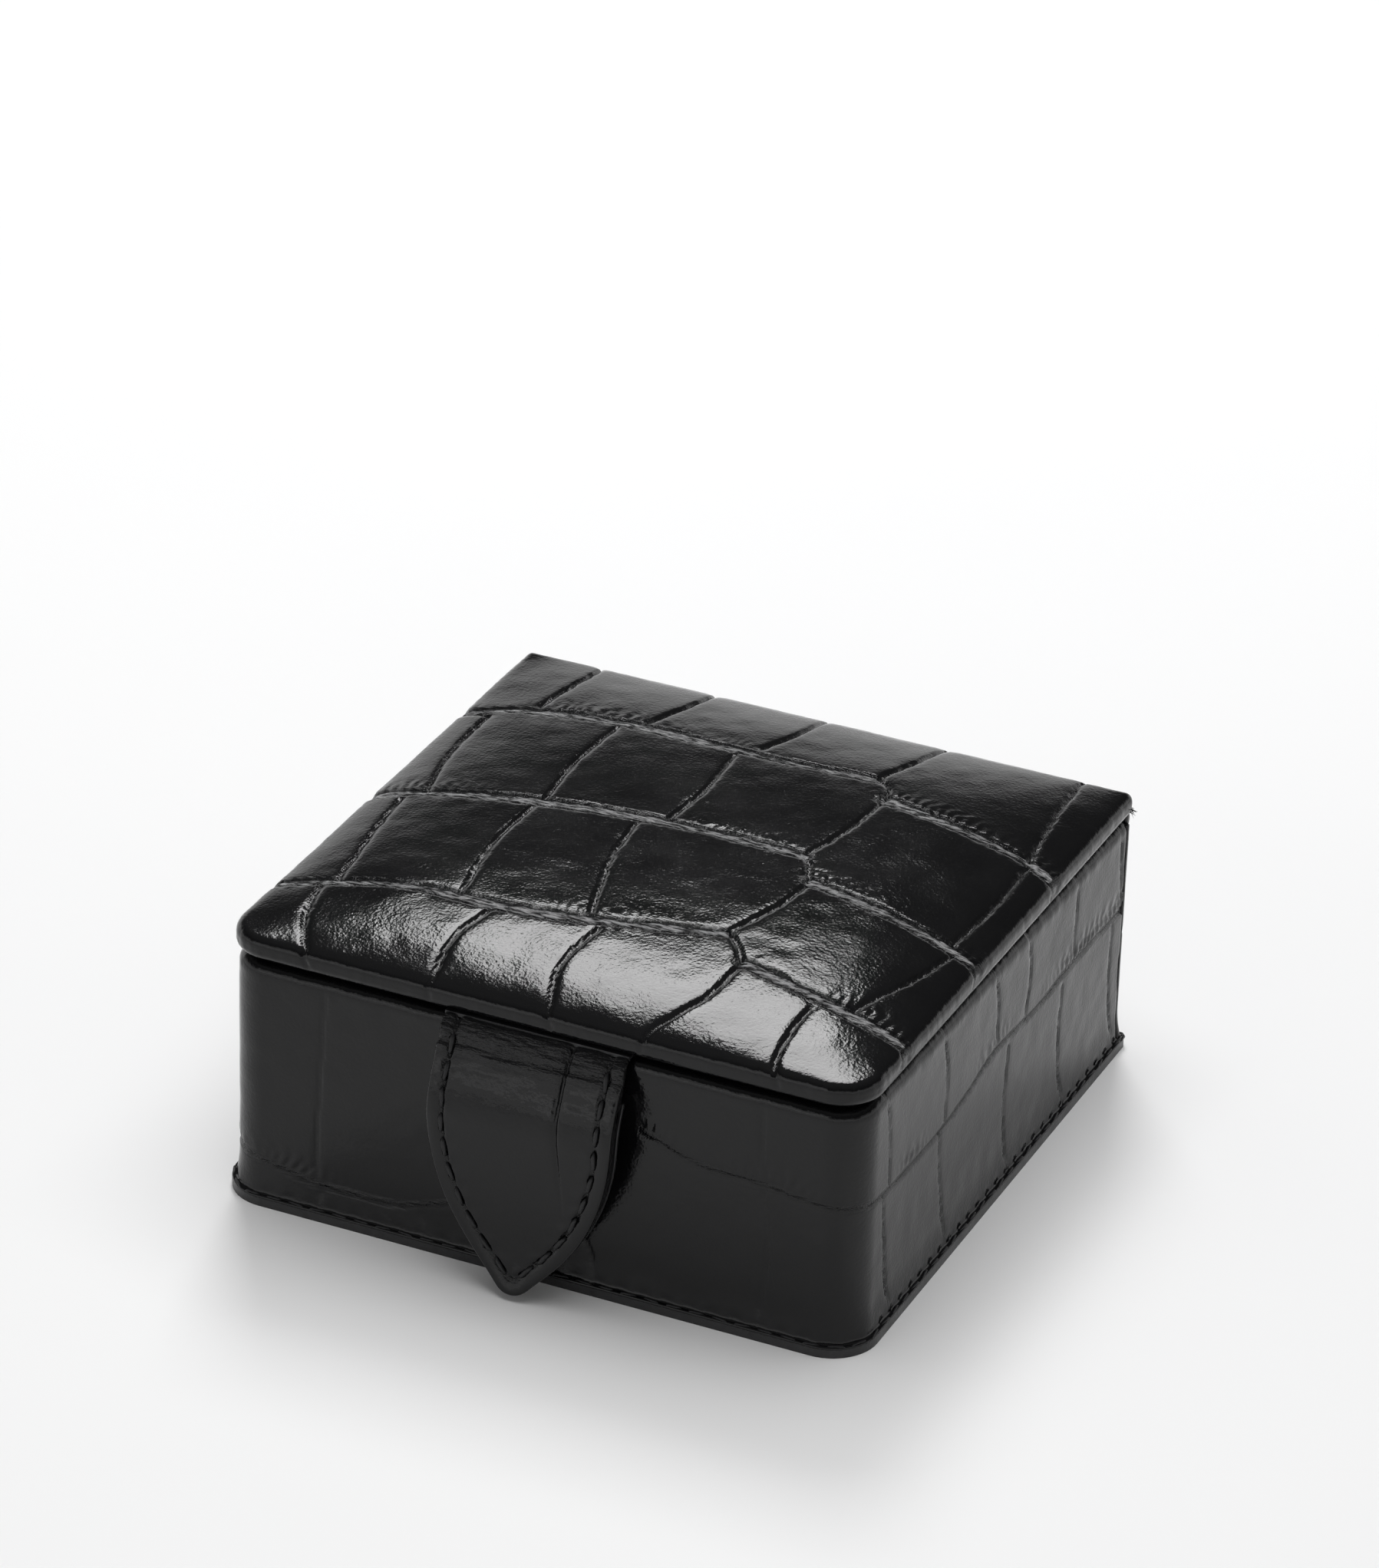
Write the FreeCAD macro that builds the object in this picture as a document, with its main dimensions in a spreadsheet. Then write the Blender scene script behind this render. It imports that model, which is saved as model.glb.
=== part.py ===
"""Small leather-covered jewellery box with a padded, leather-hinged lid and a magnetic closing tab.

Millimetres. +Z is up and the front, with the tab, faces -Y. The origin is on the table, under the
middle of the lid. The case is board walls covered in embossed leather, which flares at the foot and
is stitched to a leather base. It is lined in suede and holds three ring rolls and two compartments.
The lid is a board with a domed foam pad and a leather cover, a suede lining and a mirror. The back
leather is the hinge. The tab is stitched leather, glued under the lid's front edge.
"""
import FreeCAD, Part
import Sketcher
import math
import os
from FreeCAD import Placement, Rotation, Vector

DRIVING = (
    ("lid_width", 90.0, "lid, side to side and front to back"),
    ("lid_overhang", 0.4, "lid past the case, at the front and sides"),
    ("corner_round", 5.5, "case's outer front corners"),
    ("rear_round", 1.2, "lid's and base's rear corners"),
    ("leather_thick", 1.2, "cover leather"),
    ("skived_thick", 0.8, "cover leather where it is pared and turned in"),
    ("turn_in", 9.0, "leather turned in under the lid"),
    ("wall_thick", 3.0, "wall boards"),
    ("suede_thick", 0.8, "suede lining"),
    ("base_board_thick", 2.5, "base board"),
    ("floor_foam_thick", 1.5, "foam under the floor lining"),
    ("rim_height", 35.3, "case's rim above the table"),
    ("rim_round", 1.8, "roll of the leather over the rim"),
    ("lid_gap", 0.7, "rim to the lid's underside"),
    ("foot_flare", 1.0, "foot past the wall"),
    ("foot_edge", 0.45, "thickness of the flared edge"),
    ("foot_land", 0.5, "flat top of the flared edge"),
    ("foot_cove", 4.5, "height of the cove above the flared edge"),
    ("lid_board_thick", 1.6, "lid board"),
    ("foam_edge", 0.3, "foam at the lid board's edge"),
    ("lid_edge", 3.0, "upright edge of the lid"),
    ("lid_crown", 3.8, "rise of the padded top above its edge"),
    ("lid_round", 1.3, "roll of the lid's upper edge"),
    ("lid_under_round", 0.6, "roll of the lid's lower edge"),
    ("pad_clearance", 0.8, "lid lining to the wall lining"),
    ("mirror_width", 62.0, "mirror"),
    ("mirror_thick", 1.0, "mirror"),
    ("mirror_lap", 2.0, "lining over the mirror's edge"),
    ("divider_height", 18.0, "dividers above the floor"),
    ("divider_board_thick", 1.2, "board inside a divider"),
    ("divider_cover_thick", 0.4, "suede on a divider"),
    ("roll_height", 15.0, "ring rolls above the floor"),
    ("tab_width", 25.7, "closing tab"),
    ("tab_top", 34.4, "height where the tab's face leather starts"),
    ("tab_layers_top", 31.0, "height where its back leather and filler start"),
    ("tab_slope", 24.5, "tab's upper part to the upright, degrees"),
    ("tab_knee", 24.5, "height where the tab turns upright"),
    ("tab_knee_round", 8.0, "bend at that height"),
    ("tab_curl", 9.0, "height below which the tip curls outwards"),
    ("tab_curl_round", 28.0, "bend of the curl"),
    ("tab_stand", 3.0, "upright part of the tab to the case"),
    ("tab_shoulder", 24.9, "height where the tab starts to narrow"),
    ("tab_shoulder_round", 29.8, "curve of the tab's shoulder"),
    ("tab_point_angle", 43.5, "side of the point to the upright, degrees"),
    ("tab_tip_round", 3.0, "tip of the tab"),
    ("tab_face_thick", 1.3, "tab's front leather"),
    ("tab_back_thick", 0.9, "tab's back leather"),
    ("filler_inset", 1.0, "filler between the tab's leathers, to their edge"),
    ("strap_thick", 0.5, "pared leather at the tab's root"),
    ("strap_length", 13.0, "root of the tab under the lid"),
    ("rim_turn_in", 5.0, "leather turned in over the rim"),
    ("lining_board_thick", 1.0, "board of the lid's lining"),
    ("roll_width", 12.7, "each ring roll"),
    ("roll_crown", 4.5, "rise of a ring roll's rounded top"),
    ("magnet_height", 14.0, "closure's middle above the table"),
    ("magnet_width", 12.0, "closure's discs"),
    ("striker_thick", 1.2, "steel disc on the case"),
    ("cup_thick", 1.5, "magnet and its cup on the tab"),
    ("cup_wall", 0.4, "cup's wall"),
    ("rivet_width", 3.0, "rivet shanks"),
    ("washer_width", 8.0, "washers"),
    ("washer_thick", 0.6, "washers"),
    ("hinge_drop", 0.7, "hinge strip below the rim"),
    ("hinge_bulge", 0.35, "hinge strip past the back"),
    ("stitch_pitch", 3.175, "eight stitches to the inch"),
    ("stitch_length", 2.3, "thread showing at each stitch"),
    ("tab_stitch_pitch", 3.5, "the tab's longer stitches"),
    ("thread_width", 0.5, "sewing thread"),
    ("seam_inset", 2.1, "tab's seam to its edge"),
    ("thread_float", 0.05, "tab's stitches above the leather"),
    ("drill_gap", 0.1, "room round rivets and washers"),
    ("magnet_gap", 0.05, "room round the magnet in its cup"),
    ("fitting_gap", 0.4, "fittings to the wall lining"),
    ("pad_round", 2.0, "corners of the lid lining's board"),
    ("mirror_round", 1.0, "corners of the mirror"),
    ("tab_tip_room", 0.3, "lowest level of the tab's layers, before the point is cut"),
    ("bend_slack", 0.1, "outer bend's radius past its height"),
)
OVERCUT = 1  # how far a cutting shape passes the face that it cuts
SAME_LEVEL = 0.01  # faces closer than this count as level

doc = FreeCAD.newDocument("jewellery_box")
sheet = doc.addObject("Spreadsheet::Sheet", "dims")
for row, (alias, number, note) in enumerate(DRIVING, start=1):
    sheet.set(f"A{row}", note)
    sheet.set(f"B{row}", str(number))
    sheet.setAlias(f"B{row}", alias)
doc.recompute()


class Size:
    """A length in mm together with the spreadsheet formula that gives it."""

    def __init__(self, number, formula=None):
        self.number = float(number)
        self.formula = formula or repr(float(number))

    def joined(self, sign, other, number):
        return Size(number, f"({self.formula} {sign} {as_size(other).formula})")

    def __add__(self, other):
        return self.joined("+", other, self.number + as_size(other).number)

    def __sub__(self, other):
        return self.joined("-", other, self.number - as_size(other).number)

    def __mul__(self, other):
        return self.joined("*", other, self.number * as_size(other).number)

    def __truediv__(self, other):
        return self.joined("/", other, self.number / as_size(other).number)

    def __neg__(self):
        return Size(-self.number, f"(0 - {self.formula})")


def as_size(value):
    return value if isinstance(value, Size) else Size(value)


def dim(alias):
    """The driving dimension of that alias."""
    return Size(float(sheet.get(alias)), f"dims.{alias}")


# ---------------------------------------------------------------- shared places and levels
LEATHER = dim("leather_thick")
SUEDE = dim("suede_thick")
WALL = dim("wall_thick")
LID_HALF = dim("lid_width") / 2
CASE_HALF = LID_HALF - dim("lid_overhang")
CASE_BACK = LID_HALF
BOARD_HALF = CASE_HALF - LEATHER
BOARD_BACK = CASE_BACK - LEATHER
BOARD_ROUND = dim("corner_round") - LEATHER
CAVITY_HALF = BOARD_HALF - WALL
CAVITY_BACK = BOARD_BACK - WALL
CAVITY_ROUND = BOARD_ROUND - WALL
ROOM_HALF = CAVITY_HALF - SUEDE
ROOM_BACK = CAVITY_BACK - SUEDE
BASE_TOP = LEATHER
BOARD_TOP = dim("rim_height") - LEATHER
FLOOR_FOAM_LOW = BASE_TOP + dim("base_board_thick")
FLOOR_LINING_LOW = FLOOR_FOAM_LOW + dim("floor_foam_thick")
FLOOR = FLOOR_LINING_LOW + SUEDE
LID_LOW = dim("rim_height") + dim("lid_gap")
LID_BOARD_LOW = LID_LOW + dim("skived_thick")
LID_BOARD_TOP = LID_BOARD_LOW + dim("lid_board_thick")
LID_EDGE_TOP = LID_LOW + dim("lid_edge")
LID_ROUND = dim("corner_round") + dim("lid_overhang")
HINGE_LOW = dim("rim_height") - dim("hinge_drop")
HINGE_TOP = LID_LOW
PAD_HALF = ROOM_HALF - dim("pad_clearance")
PAD_BACK = ROOM_BACK - dim("pad_clearance")
ZERO = Size(0)
finished = []


def keep(piece, label):
    """Gives a finished sub-part the label that names its file."""
    piece.Label = label
    finished.append(piece)
    return piece


def helper_name(label):
    return f"{label}_{len(doc.Objects)}"


# ---------------------------------------------------------------- solids bound to the sheet
def block(label, x, y, z):
    """A box between two sizes along each axis."""
    piece = doc.addObject("Part::Box", helper_name(label))
    for side, axis, (low, high) in zip(("Length", "Width", "Height"), "xyz", (x, y, z)):
        piece.setExpression(side, (as_size(high) - low).formula)
        piece.setExpression(f"Placement.Base.{axis}", as_size(low).formula)
    return piece


def rod(label, radius, start, length, rotation=Rotation()):
    """A cylinder from start, along +Z as rotation turns it."""
    piece = doc.addObject("Part::Cylinder", helper_name(label))
    piece.Placement = Placement(Vector(), rotation)
    piece.setExpression("Radius", as_size(radius).formula)
    piece.setExpression("Height", as_size(length).formula)
    for axis, place in zip("xyz", start):
        piece.setExpression(f"Placement.Base.{axis}", as_size(place).formula)
    return piece


def cut(label, base, tool):
    piece = doc.addObject("Part::Cut", helper_name(label))
    piece.Base = base
    piece.Tool = tool
    return piece


def fuse(label, *shapes):
    piece = doc.addObject("Part::MultiFuse", helper_name(label))
    piece.Shapes = list(shapes)
    piece.Refine = True
    return piece


def common(label, *shapes):
    piece = doc.addObject("Part::MultiCommon", helper_name(label))
    piece.Shapes = list(shapes)
    return piece


# ---------------------------------------------------------------- sketches bound to the sheet
PLANES = {"XY": "XY_Plane", "XZ": "XZ_Plane", "YZ": "YZ_Plane"}


def new_body(label):
    return doc.addObject("PartDesign::Body", helper_name(label))


def new_sketch(body, plane, offset=ZERO):
    """A sketch on one of the body's origin planes, moved along the plane's normal by offset."""
    sketch = body.newObject("Sketcher::SketchObject", helper_name("sketch"))
    support = [f for f in body.Origin.OriginFeatures if f.Role == PLANES[plane]]
    sketch.AttachmentSupport = [(support[0], "")]
    sketch.MapMode = "FlatFace"
    sketch.setExpression("AttachmentOffset.Base.z", offset.formula)
    return sketch


def fix(sketch, kind, size, *place):
    """A dimensional constraint whose value is bound to the sheet."""
    index = sketch.addConstraint(Sketcher.Constraint(kind, *place, size.number))
    sketch.setExpression(f"Constraints[{index}]", size.formula)


def edge_between(first, last, step):
    """A line, or an arc where the step has a radius."""
    if len(step) == 2:
        return Part.LineSegment(first, last)
    radius = as_size(step[2]).number
    chord = last - first
    turn = 1 if radius > 0 else -1
    depth = math.sqrt(max(radius ** 2 - chord.Length ** 2 / 4, 0))
    side = Vector(-chord.y, chord.x, 0).normalize() * turn
    centre = (first + last) / 2 + side * depth
    return Part.Arc(first, centre - side * abs(radius), last)


def draw(sketch, start, *steps, closed=True):
    """An outline from start through steps. A step is (x, y) for a line, or (x, y, radius) for an arc
    of that radius, which is counter-clockwise where the radius is positive."""
    corners = [start] + [step[:2] for step in steps]
    points = [Vector(as_size(x).number, as_size(y).number, 0) for x, y in corners]
    for index, step in enumerate(steps):
        sketch.addGeometry(edge_between(points[index], points[index + 1], step), False)
    for index, step in enumerate(steps):
        begin, end = ends(step)
        x, y = corners[index]
        fix(sketch, "DistanceX", as_size(x), index, begin)
        fix(sketch, "DistanceY", as_size(y), index, begin)
        if len(step) == 3:
            radius = as_size(step[2])
            fix(sketch, "Radius", radius if radius.number > 0 else -radius, index)
        if closed or index + 1 < len(steps):
            following = (index + 1) % len(steps)
            next_begin, _ = ends(steps[following])
            sketch.addConstraint(Sketcher.Constraint("Coincident", index, end, following, next_begin))
        else:
            x, y = corners[-1]
            fix(sketch, "DistanceX", as_size(x), index, end)
            fix(sketch, "DistanceY", as_size(y), index, end)
    return sketch


def ends(step):
    """Which ends of a step's edge are its first and last point: a clockwise arc is stored reversed."""
    clockwise = len(step) == 3 and as_size(step[2]).number < 0
    return (2, 1) if clockwise else (1, 2)


def rounded_outline(sketch, half, back, front_round, rear_round):
    """A rectangle from -half to half, and from -half to back, with rounded corners."""
    return draw(
        sketch,
        (front_round - half, -half),
        (half - front_round, -half),
        (half, front_round - half, front_round),
        (half, back - rear_round),
        (half - rear_round, back, rear_round),
        (rear_round - half, back),
        (-half, back - rear_round, rear_round),
        (-half, front_round - half),
        (front_round - half, -half, front_round),
    )


def pad(body, sketch, length, symmetric=False):
    feature = body.newObject("PartDesign::Pad", helper_name("pad"))
    feature.Profile = sketch
    feature.Midplane = symmetric
    feature.setExpression("Length", as_size(length).formula)
    return feature


def pocket(body, sketch, length):
    """Cuts upwards, towards +Z, from a sketch that lies below the material."""
    feature = body.newObject("PartDesign::Pocket", helper_name("pocket"))
    feature.Profile = sketch
    feature.Reversed = True
    feature.setExpression("Length", as_size(length).formula)
    return feature


def slab(label, half, back, front_round, rear_round, low, high):
    """A flat piece with rounded corners, from low to high."""
    body = new_body(label)
    outline = new_sketch(body, "XY", low)
    rounded_outline(outline, half, back, front_round, rear_round)
    pad(body, outline, high - low)
    return body


# ---------------------------------------------------------------- more shared helpers
def sine(alias):
    return Size(math.sin(math.radians(dim(alias).number)), f"sin(dims.{alias})")


def cosine(alias):
    return Size(math.cos(math.radians(dim(alias).number)), f"cos(dims.{alias})")


def tangent(alias):
    return Size(math.tan(math.radians(dim(alias).number)), f"tan(dims.{alias})")


def root(size):
    return Size(math.sqrt(size.number), f"sqrt({size.formula})")


def centred(half):
    """The span from -half to half."""
    return -half, half


def tray(label, half, back, front_round, low, high, inner_half, inner_back, inner_round):
    """A ring: the slab from low to high, without the inner slab."""
    body = slab(label, half, back, front_round, dim("rear_round"), low, high)
    hollow = new_sketch(body, "XY", low)
    rounded_outline(hollow, inner_half, inner_back, inner_round, dim("rear_round"))
    pocket(body, hollow, high - low)
    return body


def run_along_x(label, half, start, *steps):
    """A section drawn in Y and Z, run sideways from -half to half."""
    body = new_body(label)
    section = new_sketch(body, "YZ")
    draw(section, start, *steps)
    pad(body, section, half * 2, symmetric=True)
    return body


def run_along_y(label, low, high, start, *steps):
    """A section drawn in X and Z, run backwards from low to high."""
    body = new_body(label)
    section = new_sketch(body, "XZ", -high)
    draw(section, start, *steps)
    pad(body, section, as_size(high) - low)
    return body


# ---------------------------------------------------------------- case
FOOT_HALF = CASE_HALF + dim("foot_flare")
FOOT_BACK = CASE_BACK + dim("foot_flare")
FOOT_TOP = BASE_TOP + dim("foot_edge")
COVE_TOP = FOOT_TOP + dim("foot_cove")
COVE_WIDTH = dim("foot_flare") - dim("foot_land")
COVE_ROUND = (COVE_WIDTH * COVE_WIDTH + dim("foot_cove") * dim("foot_cove")) / (COVE_WIDTH * 2)
TURN_LOW = dim("rim_height") - dim("rim_turn_in")
SHANK = dim("rivet_width") / 2
SHANK_HOLE = SHANK + dim("drill_gap")
FORWARD = Rotation(Vector(1, 0, 0), 90)
CASE_FRONT = -CASE_HALF
BOARD_FRONT = -BOARD_HALF
CAVITY_FRONT = -CAVITY_HALF


def disc(label, radius, low, high):
    """A disc of the closure, between two places along Y."""
    length = as_size(high) - low
    return rod(label, radius, (ZERO, high, dim("magnet_height")), length, FORWARD)


def make_base():
    round_front = dim("corner_round") + dim("foot_flare")
    keep(slab("base", FOOT_HALF, FOOT_BACK, round_front, dim("rear_round"), ZERO, BASE_TOP), "base_leather")
    low, high = BASE_TOP, FLOOR_FOAM_LOW
    board = slab("board", CAVITY_HALF, CAVITY_BACK, CAVITY_ROUND, dim("rear_round"), low, high)
    keep(board, "base_board")
    low, high = FLOOR_FOAM_LOW, FLOOR_LINING_LOW
    foam = slab("foam", CAVITY_HALF, CAVITY_BACK, CAVITY_ROUND, dim("rear_round"), low, high)
    keep(foam, "floor_foam")
    low, high = FLOOR_LINING_LOW, FLOOR
    lining = slab("lining", CAVITY_HALF, CAVITY_BACK, CAVITY_ROUND, dim("rear_round"), low, high)
    keep(lining, "floor_lining")


def make_wall_boards():
    straight = BOARD_HALF - BOARD_ROUND
    height = (BASE_TOP, BOARD_TOP)
    front = block("front", centred(straight), (BOARD_FRONT, CAVITY_FRONT), height)
    hole = disc("hole", SHANK_HOLE, BOARD_FRONT - OVERCUT, CAVITY_FRONT + OVERCUT)
    washer_low = CAVITY_FRONT - dim("washer_thick")
    recess = disc("recess", dim("washer_width") / 2 + dim("drill_gap"), washer_low, CAVITY_FRONT + OVERCUT)
    keep(cut("front", cut("front", front, hole), recess), "front_wall_board")
    keep(block("back", centred(BOARD_HALF), (CAVITY_BACK, BOARD_BACK), height), "back_wall_board")
    sides = (("left", (-BOARD_HALF, -CAVITY_HALF)), ("right", (CAVITY_HALF, BOARD_HALF)))
    for side, width in sides:
        keep(block(side, width, (-straight, CAVITY_BACK), height), f"{side}_wall_board")
    corners = []
    for sign in (-1, 1):
        middle = (straight * sign, -straight, BASE_TOP)
        outer = rod("corner", BOARD_ROUND, middle, BOARD_TOP - BASE_TOP)
        inner = rod("corner", CAVITY_ROUND, middle, BOARD_TOP - BASE_TOP)
        width = (straight, BOARD_HALF) if sign > 0 else (-BOARD_HALF, -straight)
        quarter = block("corner", width, (BOARD_FRONT, -straight), height)
        corners.append(common("corner", cut("corner", outer, inner), quarter))
    blocks = doc.addObject("Part::Compound", helper_name("corners"))
    blocks.Links = corners
    keep(blocks, "front_corner_blocks")


def wall_section(sketch, outer, sign):
    """The cover leather's section: the flared foot, the wall, the rolled rim and the turn-in.
    outer is the wall's outer face along the sketch's first axis, and sign points outwards."""
    out = (lambda depth: outer + as_size(depth) * sign)
    roll = dim("rim_round")
    inside = out(-(LEATHER + WALL))
    room = out(-(LEATHER + WALL + dim("skived_thick")))
    return draw(
        sketch,
        (out(-LEATHER), BASE_TOP),
        (out(dim("foot_flare")), BASE_TOP),
        (out(dim("foot_flare")), FOOT_TOP),
        (out(COVE_WIDTH), FOOT_TOP),
        (out(0), COVE_TOP, COVE_ROUND * -sign),
        (out(0), dim("rim_height") - roll),
        (out(-roll), dim("rim_height"), roll * sign),
        (room, dim("rim_height")),
        (room, TURN_LOW),
        (inside, TURN_LOW),
        (inside, BOARD_TOP),
        (out(-LEATHER), BOARD_TOP),
        (out(-LEATHER), BASE_TOP),
    )


def make_wall_leather():
    """The left, front and right walls' cover, one piece swept round the front corners."""
    body = new_body("wall")
    path = new_sketch(body, "XY", BASE_TOP)
    straight = CASE_HALF - dim("corner_round")
    turn = dim("corner_round")
    steps = (
        (-CASE_HALF, -straight),
        (-straight, CASE_FRONT, turn),
        (straight, CASE_FRONT),
        (CASE_HALF, -straight, turn),
        (CASE_HALF, BOARD_BACK),
    )
    draw(path, (-CASE_HALF, BOARD_BACK), *steps, closed=False)
    section = new_sketch(body, "XZ", -BOARD_BACK)
    wall_section(section, -CASE_HALF, -1)
    doc.recompute()
    sweep = body.newObject("PartDesign::AdditivePipe", helper_name("sweep"))
    sweep.Profile = section
    sweep.Spine = (path, [f"Edge{index}" for index in range(1, len(steps) + 1)])
    hole = disc("hole", SHANK_HOLE, CASE_FRONT - OVERCUT, BOARD_FRONT + OVERCUT)
    behind = block("trim", centred(CAVITY_HALF), (CAVITY_BACK, BOARD_BACK + OVERCUT), (TURN_LOW - OVERCUT, BOARD_TOP))
    keep(cut("wall", cut("wall", body, hole), behind), "wall_leather")


def make_back_leather():
    """The back wall's cover, mitred at its flared foot to meet the side walls' foot."""
    behind = dim("foot_flare")
    cove = ((CASE_BACK + COVE_WIDTH, FOOT_TOP), (CASE_BACK, COVE_TOP, -COVE_ROUND))
    back = run_along_x(
        "back",
        FOOT_HALF,
        (BOARD_BACK, BASE_TOP),
        (CASE_BACK + behind, BASE_TOP),
        (CASE_BACK + behind, FOOT_TOP),
        *cove,
        (CASE_BACK, HINGE_LOW),
        (BOARD_BACK, HINGE_LOW),
        (BOARD_BACK, BASE_TOP),
    )
    edge = run_along_y(
        "back",
        BOARD_BACK,
        FOOT_BACK,
        (-FOOT_HALF, BASE_TOP),
        (FOOT_HALF, BASE_TOP),
        (FOOT_HALF, FOOT_TOP),
        (CASE_HALF + COVE_WIDTH, FOOT_TOP),
        (CASE_HALF, COVE_TOP, -COVE_ROUND),
        (CASE_HALF, HINGE_LOW),
        (-CASE_HALF, HINGE_LOW),
        (-CASE_HALF, COVE_TOP),
        (-CASE_HALF - COVE_WIDTH, FOOT_TOP, -COVE_ROUND),
        (-FOOT_HALF, FOOT_TOP),
        (-FOOT_HALF, BASE_TOP),
    )
    keep(common("back", back, edge), "back_leather")


def make_wall_lining():
    room_round = CAVITY_ROUND - SUEDE
    outer = (CAVITY_HALF, CAVITY_BACK, CAVITY_ROUND)
    inner = (ROOM_HALF, ROOM_BACK, room_round)
    keep(tray("lining", *outer, FLOOR, TURN_LOW, *inner), "wall_lining")


# ---------------------------------------------------------------- fittings inside
FITTING_GAP = dim("fitting_gap")
DIVIDER_HALF = dim("divider_board_thick") / 2 + dim("divider_cover_thick")
DIVIDER_TOP = FLOOR + dim("divider_height")
ROLL_CORE_INSET = dim("divider_cover_thick")


def make_divider(name, along, low, high, across):
    """A board standing on the floor between low and high, inside its suede cover."""
    thick = dim("divider_cover_thick")
    half_board = dim("divider_board_thick") / 2
    spans = {"x": (across - DIVIDER_HALF, across + DIVIDER_HALF), along: (low, high)}
    inner = {"x": (across - half_board, across + half_board), along: (low, high)}
    if along == "x":
        spans["y"] = (across - DIVIDER_HALF, across + DIVIDER_HALF)
        inner["y"] = (across - half_board, across + half_board)
    cover = block(name, spans["x"], spans["y"], (FLOOR, DIVIDER_TOP))
    board = block(name, inner["x"], inner["y"], (FLOOR, DIVIDER_TOP - thick))
    slot = block(name, inner["x"], inner["y"], (FLOOR, DIVIDER_TOP - thick))
    keep(board, f"{name}_board")
    keep(cut(name, cover, slot), f"{name}_cover")


def roll_shape(name, middle, inset):
    """A ring roll's section, flat below and crowned above, run from front to back."""
    half = dim("roll_width") / 2 - inset
    crown = dim("roll_crown")
    bend = (half * half + crown * crown) / (crown * 2)
    low = FLOOR + inset
    high = FLOOR + dim("roll_height") - inset
    return run_along_y(
        name,
        -ROOM_HALF + FITTING_GAP + inset,
        ROOM_BACK - FITTING_GAP - inset,
        (middle - half, low),
        (middle + half, low),
        (middle + half, high - crown),
        (middle - half, high - crown, bend),
        (middle - half, low),
    )


def make_ring_rolls():
    pitch = (ROOM_HALF - DIVIDER_HALF) / 3
    cores = []
    for index, name in enumerate(("left", "middle", "right")):
        middle = -ROOM_HALF + pitch * (index + 0.5)
        cover = roll_shape(name, middle, ZERO)
        hollow = roll_shape(name, middle, ROLL_CORE_INSET)
        keep(cut(name, cover, hollow), f"ring_roll_{name}")
        cores.append(roll_shape(name, middle, ROLL_CORE_INSET))
    foams = doc.addObject("Part::Compound", helper_name("foams"))
    foams.Links = cores
    keep(foams, "ring_roll_foams")


# ---------------------------------------------------------------- magnetic closure
TAB_BACK_FACE = CASE_FRONT - dim("tab_stand")
TAB_BACK_FRONT = TAB_BACK_FACE - dim("tab_back_thick")
TAB_FACE_BACK = TAB_BACK_FRONT - dim("washer_thick")
TAB_FRONT = TAB_FACE_BACK - dim("tab_face_thick")


def make_closure():
    """A steel disc riveted to the case, and a magnet in a cup riveted to the tab's back leather."""
    radius = dim("magnet_width") / 2
    washer = dim("washer_width") / 2
    washer_front = CAVITY_FRONT - dim("washer_thick")
    plate = disc("striker", radius, CASE_FRONT - dim("striker_thick"), CASE_FRONT)
    shank = disc("striker", SHANK, CASE_FRONT - dim("striker_thick") / 2, CAVITY_FRONT)
    keep(fuse("striker", plate, shank), "snap_striker")
    ring = disc("washer", washer, washer_front, CAVITY_FRONT)
    hole = disc("hole", SHANK_HOLE, washer_front - OVERCUT, CAVITY_FRONT + OVERCUT)
    keep(cut("washer", ring, hole), "striker_washer")

    cup_front = TAB_BACK_FACE + dim("cup_thick")
    floor = TAB_BACK_FACE + dim("cup_wall")
    cup = disc("cup", radius, TAB_BACK_FACE, cup_front)
    seat = disc("cup", radius - dim("cup_wall"), floor, cup_front + OVERCUT)
    stem = disc("cup", SHANK, TAB_FACE_BACK, floor)
    keep(fuse("cup", cut("cup", cup, seat), stem), "magnet_cup")
    keep(disc("magnet", radius - dim("cup_wall") - dim("magnet_gap"), floor, cup_front), "tab_magnet")
    ring = disc("washer", washer, TAB_FACE_BACK, TAB_BACK_FRONT)
    hole = disc("hole", SHANK_HOLE, TAB_FACE_BACK - OVERCUT, TAB_BACK_FRONT + OVERCUT)
    keep(cut("washer", ring, hole), "cup_washer")


# ---------------------------------------------------------------- leather hinge
def make_hinge():
    """The strip of cover leather behind the joint, and the folded strip of suede inside it."""
    bulge = dim("hinge_bulge")
    half_height = (HINGE_TOP - HINGE_LOW) / 2
    bend = (half_height * half_height + bulge * bulge) / (bulge * 2)
    strip = run_along_x(
        "hinge",
        CASE_HALF,
        (BOARD_BACK, HINGE_LOW),
        (CASE_BACK, HINGE_LOW),
        (CASE_BACK, HINGE_TOP, bend),
        (BOARD_BACK, HINGE_TOP),
        (BOARD_BACK, HINGE_LOW),
    )
    keep(strip, "outer_hinge_leather")
    fold = BOARD_BACK
    lower_top = BOARD_TOP + SUEDE
    upper_low = LID_LOW - SUEDE
    lining = run_along_x(
        "fold",
        ROOM_HALF - OVERCUT,
        (ROOM_BACK, TURN_LOW),
        (CAVITY_BACK, TURN_LOW),
        (CAVITY_BACK, BOARD_TOP),
        (fold, BOARD_TOP),
        (fold, LID_LOW),
        (ROOM_BACK, LID_LOW),
        (ROOM_BACK, upper_low),
        (fold - SUEDE, upper_low),
        (fold - SUEDE, lower_top),
        (ROOM_BACK, lower_top),
        (ROOM_BACK, TURN_LOW),
    )
    keep(lining, "inner_hinge_lining")


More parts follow.
